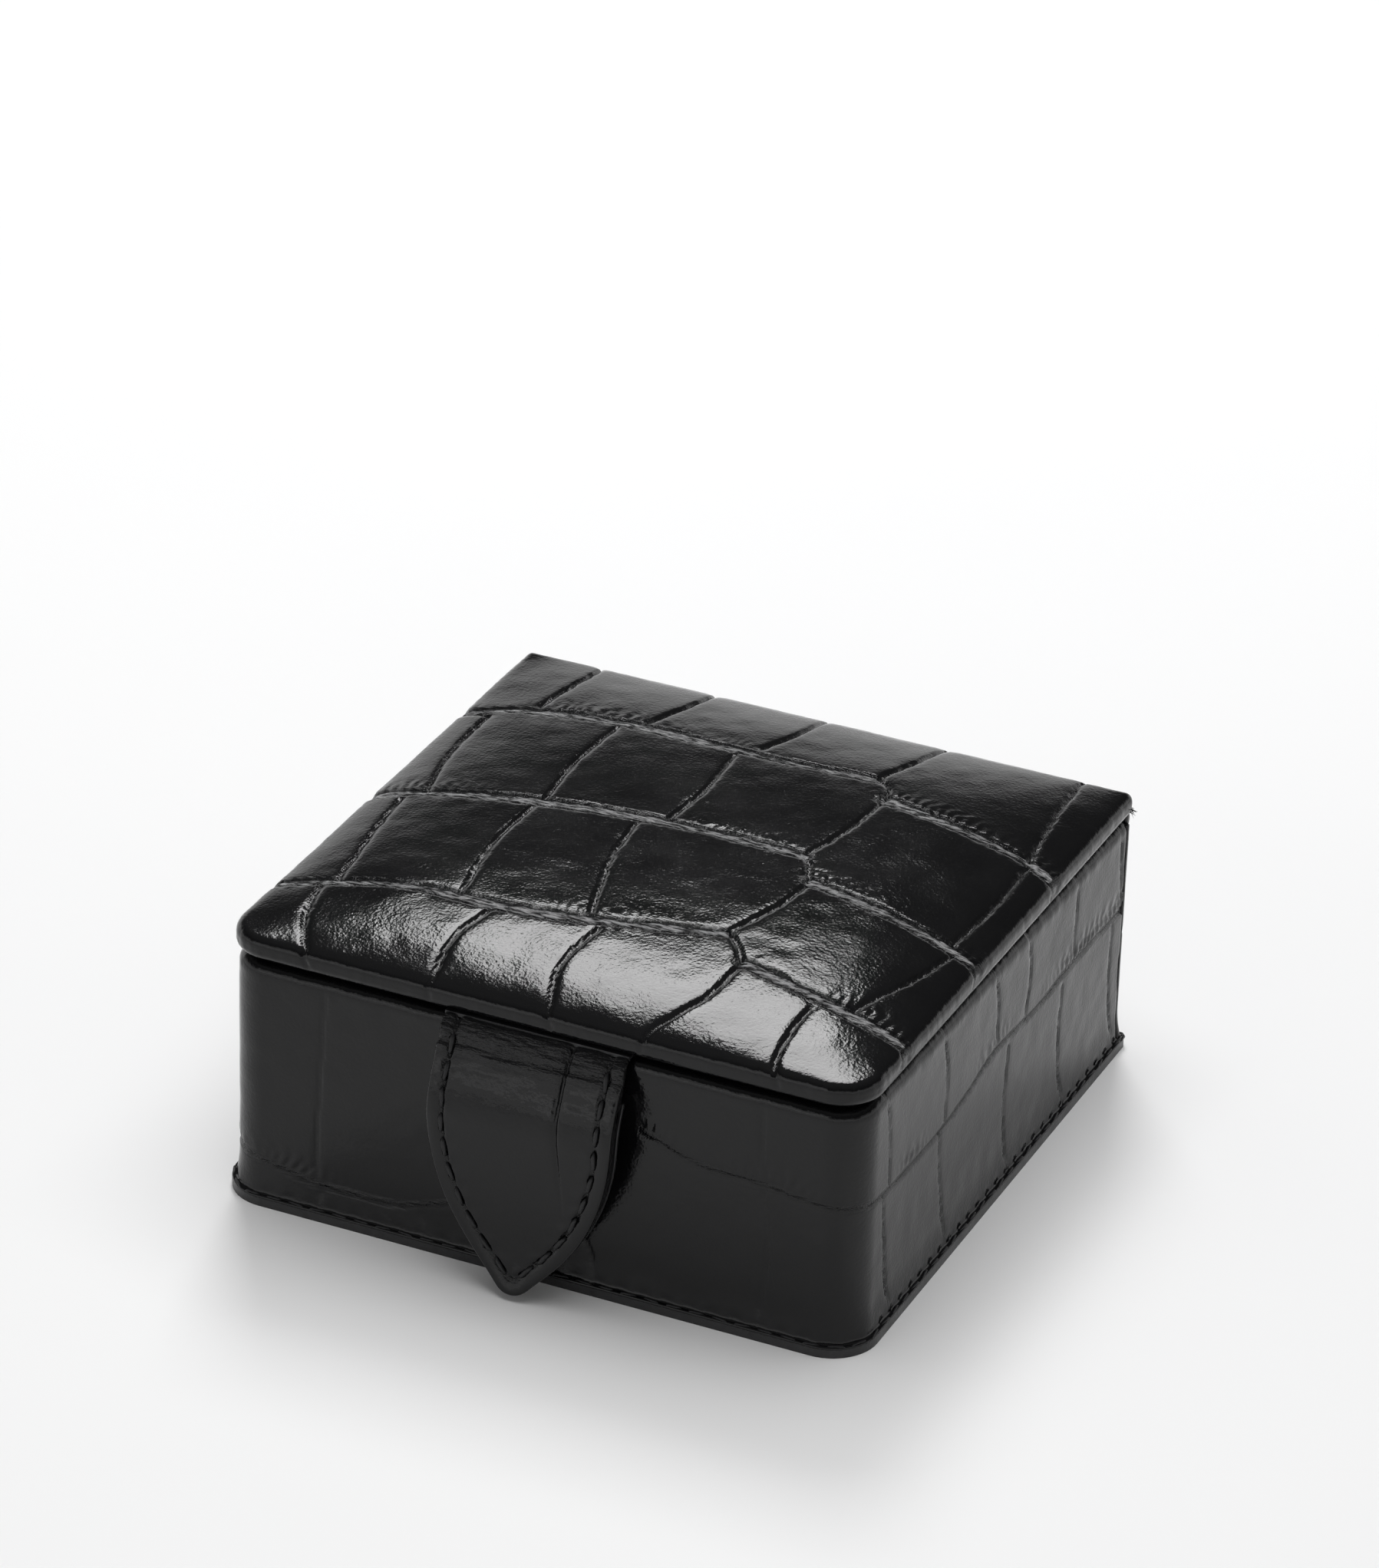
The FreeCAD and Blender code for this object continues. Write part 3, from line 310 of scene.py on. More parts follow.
def slab_between(name, front, back, material, painted_sheen=None, **options):
    """A closed sheet from two grids of points of the same size, one for each face."""
    rows, columns = front.shape[:2]
    count = rows * columns
    rim = rim_of(rows, columns)
    faces = grid_faces(rows, columns)
    edge = np.stack((rim, np.roll(rim, -1), np.roll(rim, -1) + count, rim + count), 1)
    faces = faces.tolist() + (faces[:, ::-1] + count).tolist() + edge.tolist()
    points = np.vstack((front.reshape(-1, 3), back.reshape(-1, 3)))
    if painted_sheen is not None:
        painted_sheen = np.concatenate((painted_sheen.ravel(), 0 * painted_sheen.ravel()))
    return piece(name, points, faces, material, painted_sheen=painted_sheen, **options)


# ---- the embossed skin

BAND_REACH = 5.0  # how far from a band's line its relief is worked out
BAND_HALF = 0.9
BAND_WAVER = 0.28  # share by which a band's width varies
BAND_EDGE = 0.16
BAND_DEPTH = 0.24
BAND_CREASE = 0.36
REAR_CREASE = 0.35  # the rear crease's share of the front one
STRAND = 0.09
RIPPLE = 0.095
RIPPLE_PITCH = 1.5
RIPPLE_ROW = 1.0  # first row of ripples behind the band
RIPPLE_WIDTH = 0.7
RIPPLE_WANDER = 3.4
SECOND_ROW = 2.4
SECOND_PITCH = 2.3
SECOND_SHARE = 0.4
PINCH = 0.05
GROOVE_REACH = 3.5
GROOVE_DEPTH = 0.42
GROOVE_HALF = 0.24
# the painted sheen in the middle of a groove
GROOVE_SHEEN = 0.12
SHOULDER_DEPTH = 0.09
SHOULDER_HALF = 0.8
WIDE_BAND = 0.5  # only bands at least this wide have a shoulder
BAND_SHOULDER = 0.4
PLAY = 0.05  # slow unevenness of the whole skin
SMALL_PLAY = 0.03


def emboss(
    u, v, bands, grooves, seed, strength=1.0, band_half=BAND_HALF, groove_half=GROOVE_HALF, ripple=RIPPLE
):
    """The lift of the skin and its share of painted sheen: bands of fine strands, rows of ripples behind
    them, and grooves.
    """
    lift = PLAY * noise(u, v, 7.0, 7.0, seed) + SMALL_PLAY * noise(u, v, 2.6, 2.6, seed + 1)
    sheen_share = np.zeros_like(lift)
    for key, band in enumerate(bands, seed):
        near, across, along = nearest(u, v, curve(band), BAND_REACH)
        half = band_half * (1 + BAND_WAVER * streaks(along, 5.0, key))
        floor = 1 / (1 + np.exp(np.clip((np.abs(across) - half) / BAND_EDGE, -40, 40)))
        strands = noise(along, across, 2.2, 0.5, key) + 0.5 * noise(along, across, 0.7, 0.6, key + 7)
        crease = bell(across + half, 0.2) + REAR_CREASE * bell(across - half, 0.22)
        patch = np.clip(0.45 + 0.9 * streaks(along, 9.0, key + 11), 0.0, 1.0)
        wander = RIPPLE_WANDER * noise(along, across, 3.4, 2.4, key + 13)
        beads = np.cos(2 * math.pi * along / RIPPLE_PITCH + wander + 0.5 * across)
        row = across - half - RIPPLE_ROW - 0.35 * streaks(along, 2.1, key + 19)
        ripples = bell(row, RIPPLE_WIDTH) * beads * patch * ripple
        beads = np.cos(2 * math.pi * along / SECOND_PITCH + wander)
        ripples += bell(across - half - SECOND_ROW, RIPPLE_WIDTH) * beads * patch * ripple * SECOND_SHARE
        pinch = bell(across + half + 0.5, 0.45) * noise(along, across, 0.55, 1.5, key + 17) * PINCH
        beside = bell(np.maximum(np.abs(across) - half, 0), 0.7) * (band_half > WIDE_BAND)
        lift[near] += strength * (
            -BAND_DEPTH * floor + STRAND * strands * floor - BAND_CREASE * crease + ripples + pinch
            - BAND_SHOULDER * SHOULDER_DEPTH * beside
        )
        # band floors get a painted sheen, a grey standing in for the light their strands catch
        sheen_share[near] = np.maximum(sheen_share[near], floor)
    for key, groove in enumerate(grooves, seed):
        near, across, along = nearest(u, v, curve(groove), GROOVE_REACH)
        shade = 1 + 0.3 * streaks(along, 3.0, key + 40)
        waver = across + 0.1 * streaks(along, 1.1, key + 60)
        cut = bell(waver, groove_half) * GROOVE_DEPTH * shade
        lift[near] -= strength * (cut + SHOULDER_DEPTH * bell(across, SHOULDER_HALF))
        # grooves get a faint painted sheen along their middle
        sheen_share[near] = np.maximum(sheen_share[near], GROOVE_SHEEN * bell(across, 0.24))
    return lift, sheen_share


# the patterns are drawn as x, y on the lid; bands and grooves are listed from the rear to the front
LID_BANDS = (
    ((-48, 23.4), (-44, 24), (-32, 25.6), (-20, 26.4), (-8, 25.9), (4, 26.2), (15, 27)),
    ((18.6, 22), (30, 20.2), (41.5, 18), (47, 16)),
    ((-48, -4), (-42, -3), (-22, 0.1), (-5, 2.2), (5, 2.6), (15.5, 2.5)),
    ((18.8, -3.4), (30, -5.6), (42, -8.2), (48, -9.8)),
    ((-48, -31.6), (-42, -30), (-27, -27), (-13, -27), (-1, -25), (15, -20.6)),
    ((19.6, -26), (30, -28.4), (42.4, -31), (48, -32.6)),
)
LID_GROOVES = (
    ((15.4, 27.2), (17.4, 25.3), (18.4, 22)),
    ((15.6, 2.6), (17.3, -0.2), (18.7, -3.4)),
    ((15.2, -20.4), (17.6, -23), (19.4, -26)),
    ((-33.3, 46), (-33.4, 38), (-34.6, 27)),
    ((-16, 46), (-16.6, 37), (-18.8, 28)),
    ((0.6, 46), (0, 36), (-2.2, 28)),
    ((18.2, 46), (17.2, 36), (15, 27.5)),
    ((37.6, 46), (38.8, 32), (40.4, 18.6)),
    ((-40.2, 22), (-39.6, 10), (-37.2, -1.6)),
    ((-21.9, 24.5), (-22.3, 13), (-21.4, 1.4)),
    ((-4.4, 24.2), (-3.5, 13.5), (-4.2, 3.6)),
    ((18.4, 21), (17.6, 12), (15.7, 3.6)),
    ((40.8, 16.5), (41.1, 5), (40.2, -6.8)),
    ((-39.5, -4.6), (-38.6, -14), (-36.6, -28)),
    ((-21.8, -1.6), (-22, -12), (-20.2, -25.5)),
    ((-7.6, 0.4), (-6.4, -10), (-2.8, -23.6)),
    ((19, -4.6), (17.8, -12), (15.2, -19.6)),
    ((41.2, -9), (39.4, -18), (36, -28.4)),
    ((-38.1, -30), (-36.4, -38), (-31.6, -47), (-31.4, -50)),
    ((-14.8, -28.4), (-16.3, -36), (-15.2, -44.6), (-15, -49)),
    ((-0.2, -26.6), (-1.2, -36), (1.6, -45.4), (2, -49)),
    ((19.6, -27.4), (18.6, -35), (14.6, -43.6), (13.6, -49)),
    ((31.4, -30.6), (31.2, -38), (32.8, -49)),
    ((-50, 20.6), (-44, 23.2), (-40, 22.6)),
)


def lid_relief(u, v, skirt):
    """The lid's skin, fading down its side, with fine wrinkles that run with the rolled edge."""
    lift, sheen_share = emboss(u, v, LID_BANDS, LID_GROOVES, 3)
    fine = noise(u, v, 0.9, 3.2, 21) * 0.05 + noise(u, v, 0.5, 1.4, 22) * 0.02
    across = np.where(np.abs(v) > np.abs(u), fine, noise(u, v, 3.2, 0.9, 23) * 0.035)
    fading = np.clip(1 - skirt / 3.4, 0.5, 1)
    # the painted sheen fades out down the rolled side
    return lift * fading + across * np.clip(skirt, 0, 1), sheen_share * np.clip(1 - skirt / 1.6, 0, 1)


WALL_HALF = 44.6
WALL_ROUND = 5.5
SIDE = WALL_HALF - WALL_ROUND + WALL_ROUND * math.pi / 2 + WALL_HALF - WALL_ROUND  # a side wall's middle


def about(middle, *lines):
    """Lines drawn about the middle of a side wall, moved to their place."""
    return [[(middle + along, level) for along, level in line] for line in lines]


# the walls' pattern is drawn as the length round the walls from the front's middle, and the height
WALL_BANDS = (
    (
        (15, 25.6), (22.6, 23), (31, 22.6), (39, 21.6), (46, 21), (SIDE - 32, 20.2), (SIDE - 19, 20.1),
        (SIDE - 10, 21), (SIDE, 22.6), (SIDE + 14, 21.8), (SIDE + 26, 22.4), (SIDE + 46, 21.6),
    ),
    ((-60, 8), (-46, 7.4), (-38.7, 6.5), (-31, 5.2), (-20.4, 5.2), (-13.8, 6.9), (-9, 8.6)),
    ((-SIDE - 46, 24), (-SIDE - 20, 22.6), (-SIDE, 21.8), (-SIDE + 14, 23.4), (-66, 25)),
)
WALL_GROOVES = (
    ((31.1, 35), (31.4, 25)),
    ((31.8, 21.4), (32.6, 14), (31.4, 0)),
    ((-29.8, 35), (-30.7, 20), (-31.2, 7)),
    ((-30.2, 4), (-30.1, 0)),
    ((-15.7, 5), (-15.3, -1)),
    ((7.2, 8), (8.4, 4.6), (8.8, 1)),
    ((9.5, 21.5), (7.6, 14), (7.2, 8)),
    ((-47, 35), (-48.4, 20), (-47.2, 8.5)),
    *about(
        SIDE,
        ((-37, 36), (-35.4, 29), (-34.9, 21.4)),
        ((-18.6, 36), (-16.8, 28), (-17, 21)),
        ((-1.8, 36), (0, 29), (-0.1, 23)),
        ((9.5, 36), (10.8, 29), (9.9, 23)),
        ((26.9, 36), (26.2, 23)),
        ((42, 36), (43.4, 22)),
        ((-36.7, 19.6), (-35.2, 9.6), (-33, -1)),
        ((-18.6, 19.5), (-17.6, 12), (-14.8, -1)),
        ((4.3, 20.8), (3.8, 11), (5.8, -1)),
        ((22.8, 20.6), (22.3, 12), (25.2, -1)),
        ((40.5, 21), (40.7, 10), (43.2, -1)),
    ),
    *about(
        -SIDE,
        ((-34, 36), (-35, 23)),
        ((-15, 36), (-14, 22.4)),
        ((3, 36), (4.5, 22.4)),
        ((19, 36), (18, 24)),
        ((-27, 22), (-28, 10), (-26, -1)),
        ((-6, 21.6), (-4, 10), (-6, -1)),
        ((12, 22.6), (13.5, 10), (12, -1)),
        ((27, 24), (26, 10), (28, -1)),
    ),
)
BACK_BANDS = (((-50, 21), (-30, 22.4), (-8, 22), (10, 23.6)), ((14, 19), (30, 17.6), (50, 18.6)))
BACK_GROOVES = (
    ((10.4, 23.8), (12.6, 21.6), (14, 19)),
    ((-32, 36), (-33, 23)),
    ((-14, 36), (-13, 22.6)),
    ((3, 36), (4.4, 23.4)),
    ((24, 36), (23, 18.4)),
    ((39, 36), (40.2, 18)),
    ((-40, 21.4), (-39, 10), (-41, -1)),
    ((-22, 22.4), (-23.4, 10), (-21, -1)),
    ((-3, 22.4), (-1.6, 10), (-3, -1)),
    ((16, 18.4), (14.6, 8), (16, -1)),
    ((34, 17.8), (35.4, 8), (34, -1)),
)


# ---- materials


class Surface:
    """A node material: a Principled shader with helpers for procedural texture."""

    def __init__(self, name, colour, roughness, **values):
        self.material = bpy.data.materials.new(name)
        self.material.use_nodes = True
        self.tree = self.material.node_tree
        self.shader = self.tree.nodes["Principled BSDF"]
        self.fill(self.shader, Base_Color=(*colour, 1), Roughness=roughness, **values)
        self.place = self.tree.nodes.new("ShaderNodeTexCoord").outputs["Object"]
        self.height = None

    def fill(self, node, **values):
        """Sets the sockets of a node, or links them where the value is another socket."""
        for name, value in values.items():
            socket = node.inputs[name.replace("_", " ")]
            if isinstance(value, bpy.types.NodeSocket):
                self.tree.links.new(value, socket)
            else:
                socket.default_value = value

    def add(self, kind, **values):
        node = self.tree.nodes.new(kind)
        self.fill(node, **values)
        return node

    def stretched(self, scale):
        return self.add("ShaderNodeMapping", Scale=scale, Vector=self.place).outputs["Vector"]

    def noise(self, scale, detail=3.0, rough=0.55, where=None):
        values = {"Scale": scale, "Detail": detail, "Roughness": rough}
        return self.add("ShaderNodeTexNoise", Vector=where or self.place, **values).outputs["Fac"]

    def cells(self, scale, feature="F1"):
        node = self.add("ShaderNodeTexVoronoi", Scale=scale, Vector=self.place)
        node.feature = feature
        return node.outputs["Distance"]

    def attribute(self, name):
        node = self.add("ShaderNodeAttribute")
        node.attribute_name = name
        return node.outputs["Fac"]

    def math(self, operation, a, b):
        node = self.add("ShaderNodeMath")
        node.operation = operation
        for socket, value in zip(node.inputs, (a, b)):
            if isinstance(value, float):
                socket.default_value = value
            else:
                self.tree.links.new(value, socket)
        return node.outputs[0]

    def between(self, source, low_value, high_value):
        """The source's middle range, carried to the range between the two values."""
        values = {"From_Min": 0.3, "From_Max": 0.7, "To_Min": low_value, "To_Max": high_value}
        return self.add("ShaderNodeMapRange", Value=source, **values).outputs["Result"]

    def roughness(self, source):
        self.fill(self.shader, Roughness=source)

    def colours(self, source, *stops):
        node = self.add("ShaderNodeValToRGB", Fac=source)
        ramp = node.color_ramp
        while len(ramp.elements) < len(stops):
            ramp.elements.new(0.5)
        for element, (place, colour) in zip(ramp.elements, stops):
            element.position = place
            element.color = (*colour, 1)
        self.fill(self.shader, Base_Color=node.outputs["Color"])

    def bump(self, source, distance, strength=1.0):
        """Adds one layer of bump, with its height in metres."""
        node = self.add("ShaderNodeBump", Distance=distance, Strength=strength, Height=source)
        if self.height:
            self.fill(node, Normal=self.height)
        self.height = node.outputs["Normal"]
        self.fill(self.shader, Normal=self.height)


BLACK = (0.003, 0.003, 0.0034)


def croc_leather():
    s = Surface("black_embossed_leather", BLACK, 0.14, IOR=1.38)
    # The marked points (band floors, grooves, seams) get a little rougher, and a grey on their strands: a
    # painted sheen standing in for the light the strands catch.
    painted_sheen = s.attribute("painted_sheen")
    s.roughness(s.math("ADD", s.between(s.noise(120, 4), 0.09, 0.16), s.math("MULTIPLY", painted_sheen, 0.08)))
    strands = s.noise(1.0, 3, 0.6, s.stretched((520, 2500, 1700)))
    s.colours(s.math("MULTIPLY", painted_sheen, strands), (0.4, BLACK), (0.58, (0.34, 0.34, 0.345)))
    s.bump(s.math("MULTIPLY", strands, painted_sheen), 0.0011)
    for scale, height in ((700, 0.000024), (1900, 0.000024), (4200, 0.000007)):
        s.bump(s.noise(scale, 2), height)
    s.bump(s.cells(2300), 0.00001)
    return s.material


def plain_leather():
    s = Surface("black_plain_leather", (0.011, 0.011, 0.012), 0.3, IOR=1.5)
    s.roughness(s.between(s.noise(300, 3), 0.26, 0.4))
    s.colours(s.noise(700, 3), (0.3, (0.008, 0.008, 0.009)), (0.7, (0.016, 0.016, 0.017)))
    s.bump(s.cells(1500, "DISTANCE_TO_EDGE"), 0.00005, 0.5)
    s.bump(s.noise(4200, 3), 0.00003, 0.5)
    return s.material


def suede():
    s = Surface("grey_suede", (0.12, 0.115, 0.11), 0.95, Sheen_Weight=0.6, Sheen_Roughness=0.4)
    nap = s.noise(140, 5, 0.6)
    s.colours(nap, (0.3, (0.085, 0.08, 0.077)), (0.5, (0.12, 0.114, 0.11)), (0.7, (0.17, 0.163, 0.157)))
    s.bump(s.noise(5200, 4, 0.7), 0.00008, 0.7)
    s.bump(nap, 0.0002, 0.3)
    return s.material


def thread():
    s = Surface("black_thread", (0.006, 0.006, 0.0065), 0.5, IOR=1.42)
    s.colours(s.noise(6000, 2), (0.3, (0.003, 0.003, 0.0035)), (0.7, (0.012, 0.012, 0.013)))
    s.bump(s.noise(9000, 3), 0.00003, 0.6)
    return s.material


def grey_board():
    s = Surface("grey_board", (0.33, 0.31, 0.28), 0.9)
    s.colours(s.noise(900, 5, 0.7), (0.3, (0.24, 0.225, 0.2)), (0.7, (0.4, 0.375, 0.34)))
    s.bump(s.noise(2600, 4), 0.00005, 0.6)
    return s.material


def wood():
    s = Surface("light_wood", (0.5, 0.36, 0.22), 0.6)
    grain = s.noise(60, 5, 0.6, s.stretched((1, 1, 14)))
    s.colours(grain, (0.3, (0.36, 0.24, 0.13)), (0.7, (0.58, 0.43, 0.27)))
    s.bump(grain, 0.0001, 0.4)
    return s.material


def black_foam():
    s = Surface("black_foam", (0.012, 0.012, 0.012), 0.9)
    s.colours(s.noise(900, 2), (0.3, (0.008, 0.008, 0.008)), (0.7, (0.02, 0.02, 0.02)))
    s.bump(s.cells(1600), 0.00008, 0.5)
    return s.material


def mirror_glass():
    s = Surface("silvered_mirror", (0.86, 0.87, 0.87), 0.02, Metallic=1.0)
    s.roughness(s.between(s.noise(40, 4), 0.012, 0.05))
    s.bump(s.noise(18, 2), 0.00002, 0.15)
    return s.material


def nickel():
    s = Surface("nickelled_steel", (0.68, 0.67, 0.64), 0.25, Metallic=1.0)
    brushed = s.noise(400, 4, 0.6, s.stretched((1, 1, 12)))
    s.roughness(s.between(brushed, 0.18, 0.34))
    s.bump(brushed, 0.00003, 0.4)
    return s.material


def magnet():
    s = Surface("dark_magnet", (0.12, 0.12, 0.125), 0.45, Metallic=0.8)
    s.roughness(s.between(s.noise(800, 3), 0.36, 0.55))
    s.bump(s.noise(2500, 3), 0.00003, 0.5)
    return s.material


CROC = croc_leather()
PLAIN = plain_leather()
SUEDE = suede()
THREAD = thread()
BOARD = grey_board()
WOOD = wood()
BLACK_FOAM = black_foam()
MIRROR = mirror_glass()
NICKEL = nickel()
MAGNET = magnet()

# ---- lid

LID_HALF = high("lid_leather")[0]
LID_LOW = low("lid_leather")[2]
LID_CROWN = high("lid_leather")[2]
LID_ROLL = 1.3
LID_UNDER = 1.1
LID_ROUNDS = (5.9, 1.2)
EDGE_TOP = 37.9
TOP_TILT = math.radians(17)
TOP_INSET = LID_ROLL * (1 - math.sin(TOP_TILT))
TOP_EDGE = EDGE_TOP + LID_ROLL * math.cos(TOP_TILT)
TURN_IN = 9.0
LID_BOARD = high("lid_board")
LID_STEP = 0.34
CROWN_FLATNESS = 3.3
CROWN_POWER = 0.8
CROWN_ROOM = 0.1  # left above the crown for the relief


def lid_crown(a, b):
    share = (1 - np.abs(a) ** CROWN_FLATNESS) * (1 - np.abs(b) ** CROWN_FLATNESS)
    return TOP_EDGE + (LID_CROWN - CROWN_ROOM - TOP_EDGE) * np.maximum(share, 0) ** CROWN_POWER


lid_rings = []
for tilt in np.linspace(TOP_TILT, math.pi / 2, 6)[1:]:
    lid_rings.append((LID_ROLL * (1 - math.sin(tilt)), EDGE_TOP + LID_ROLL * math.cos(tilt), tilt))
for level in np.linspace(EDGE_TOP, LID_LOW + LID_UNDER, 6)[1:]:
    lid_rings.append((0.0, level, math.pi / 2))
for turn in np.linspace(0, math.pi / 2, 5)[1:]:
    lid_rings.append((LID_UNDER * (1 - math.cos(turn)), LID_LOW + LID_UNDER * (1 - math.sin(turn)), None))
lid_rings += [(inset, LID_LOW, None) for inset in (2.0, 4.0, 6.5, TURN_IN)]
board_inset = LID_HALF - LID_BOARD[0]
lid_rings += [
    (TURN_IN, low("lid_board")[2], None),
    (board_inset, low("lid_board")[2], None),
    (board_inset, LID_BOARD[2], None),
]
lid_cover = pillow(
    "lid_cover", LID_HALF, LID_HALF, 0.0, LID_ROUNDS, TOP_INSET, lid_crown, lid_rings, LID_STEP,
    CROC, relief=lid_relief, body="lid", stands_for=("lid_leather", "lid_foam"),
)

# ---- walls

FOOT_HALF = high("wall_leather")[0]
FOOT_LOW = low("wall_leather")[2]
FOOT_TOP = 1.65
FOOT_LAND = 0.5
COVE_TOP = 6.15
RIM = high("wall_leather")[2]
RIM_ROLL = 1.8
BOARD_HALF = high("right_wall_board")[0]
BOARD_TOP = high("right_wall_board")[2]
LINING_TOP = high("wall_lining")[2]
ROOM_HALF = 39.6
TURN_ROUND = 0.8  # where the leather turns down inside the rim
WALL_STEP = 0.36
STITCH_PITCH = 3.175
DENT = 0.12  # pull of the foot's stitches on the leather above them
WALL_SKIN = {"strength": 0.55, "band_half": 0.3, "groove_half": 0.2, "ripple": 0.24}


def arc_points(centre, radius, start, end, count):
    turn = np.radians(np.linspace(start, end, count))
    return [(centre[0] + radius * math.cos(t), centre[1] + radius * math.sin(t)) for t in turn]


def foot_section():
    """The foot's edge, its flat top and the concave sweep up to the wall, as (distance out, height)."""
    points = [(FOOT_HALF, FOOT_LOW), (FOOT_HALF + 0.02, FOOT_TOP - 0.3), (FOOT_HALF - 0.12, FOOT_TOP)]
    points += [(FOOT_HALF - 0.3, FOOT_TOP - 0.12), (FOOT_HALF - 0.43, FOOT_TOP - 0.02)]
    rise = COVE_TOP - FOOT_TOP
    run = FOOT_HALF - FOOT_LAND - WALL_HALF
    radius = (rise**2 + run**2) / (2 * run)
    low_turn = 180 + math.degrees(math.asin(rise / radius))
    return points + arc_points((WALL_HALF + radius, COVE_TOP), radius, low_turn, 180, 14)


def wall_section():
    """The wall's leather from the foot, over the rim and down inside to where it meets the lining."""
    points = foot_section()
    climb = np.arange(COVE_TOP + WALL_STEP, RIM - RIM_ROLL - WALL_STEP / 2, WALL_STEP)
    points += [(WALL_HALF, level) for level in climb]
    points += arc_points((WALL_HALF - RIM_ROLL, RIM - RIM_ROLL), RIM_ROLL, 0, 90, 10)
    points += [(WALL_HALF - 3.2, RIM)]
    points += arc_points((ROOM_HALF + TURN_ROUND, RIM - TURN_ROUND), TURN_ROUND, 90, 180, 5)
    points += [(ROOM_HALF, level) for level in (33, 31.5, LINING_TOP)]
    points += [(ROOM_HALF + TURN_ROUND, LINING_TOP), (ROOM_HALF + TURN_ROUND, BOARD_TOP)]
    points += [(BOARD_HALF, BOARD_TOP), (BOARD_HALF, FOOT_LOW)]
    return points


def wall_skin(along, level, bands, grooves, seed):
    """A wall's lift, fading into the foot, with the dents of the foot's stitches, and its share of
    painted sheen.
    """
    lift, sheen_share = emboss(along.ravel(), level.ravel(), bands, grooves, seed, **WALL_SKIN)
    lift = lift.reshape(along.shape) * np.clip((level - 2.4) / 2, 0, 1)
    dents = -DENT * bell(level - FOOT_TOP, 0.9) * (0.5 + 0.5 * np.cos(2 * math.pi * along / STITCH_PITCH))
    return lift, sheen_share.reshape(along.shape), dents


def wall_relief(along, outward, level):
    lift, sheen_share, dents = wall_skin(along, level, WALL_BANDS, WALL_GROOVES, 31)
    outside = (outward > WALL_HALF - RIM_ROLL * 0.9) & (level > FOOT_TOP + 0.05)
    rim = np.clip((level - 32.4) / 1.2, 0, 1)
    cracks = noise(along, level, 1.9, 2.6, 37) * 0.05 + noise(along, level, 0.7, 1.2, 38) * 0.025
    lift = lift * (1 - 0.6 * rim) + cracks * rim + dents
    # the walls get half the painted sheen, on their outer face only
    return lift * outside, sheen_share * 0.5 * outside


wall_places = stations(WALL_HALF, -WALL_HALF, low("back_leather")[1], WALL_ROUND, WALL_STEP)
wall_places[:, :2] -= wall_places[:, 2:4] * WALL_HALF
sweep(
    "wall_cover", wall_places, wall_section(), CROC,
    relief=wall_relief, body="case", stands_for=("wall_leather",),
)
BACK_FACE = 45.0
back_low = low("back_leather")
back_high = high("back_leather")
BACK_END_ROUND = 0.5


def back_faces():
    """Grids over the back's outer and inner faces, from side to side and upwards, and its share of
    painted sheen.
    """
    section = foot_section()
    climb = np.arange(COVE_TOP + WALL_STEP, back_high[2] - 0.2, WALL_STEP)
    section += [(WALL_HALF, level) for level in climb]
    section.append((WALL_HALF - 0.2, back_high[2]))
    section = np.array(section)
    share = np.linspace(-1, 1, int(2 * WALL_HALF / WALL_STEP))
    x = share[:, None] * section[None, :, 0]
    z = np.broadcast_to(section[:, 1], x.shape)
    lift, sheen_share, dents = wall_skin(x, z, BACK_BANDS, BACK_GROOVES, 51)
    lift = (lift + dents) * (z > FOOT_TOP + 0.05)
    ends = edge_round((1 - np.abs(share)) * WALL_HALF, BACK_END_ROUND)
    y = section[None, :, 0] - WALL_HALF + BACK_FACE + lift + ends[:, None]
    outer = np.stack((x, y, z), -1)
    inner = outer.copy()
    inner[..., 1] = back_low[1]
    return outer, inner, sheen_share * 0.7


back_outer, back_inner, back_sheen = back_faces()
slab_between(
    "back_cover", back_outer, back_inner, CROC,
    painted_sheen=back_sheen, body="case", stands_for=("back_leather",),
)

# ---- tab

TAB_HALF = high("tab_leather")[0]
TAB_LOW = low("tab_leather")[2]
TAB_FRONT = -50.4
TAB_CURL = 9.0
TAB_CURL_ROUND = 28.0
TAB_KNEE = 23.2
TAB_KNEE_ROUND = 14.0
TAB_SLOPE = math.radians(24.5)
TAB_NECK = 34.4
TAB_NECK_ROUND = 2.55
SHOULDER = 24.9
SHOULDER_ROUND = 29.8
POINT_ANGLE = math.radians(43.5)
POINT_ROUND = 3.0
POINT_CENTRE = TAB_LOW + POINT_ROUND
LAYERS_TOP = 31.0
FACE_THICK = 1.3
FILLER_THICK = 0.6
LINING_THICK = 0.9
SEAM_INSET = 2.1
TAB_PITCH = 3.5
TAB_STEP = 0.25
GRID_EASE = 0.96  # how strongly the tab's grid gathers towards its sides


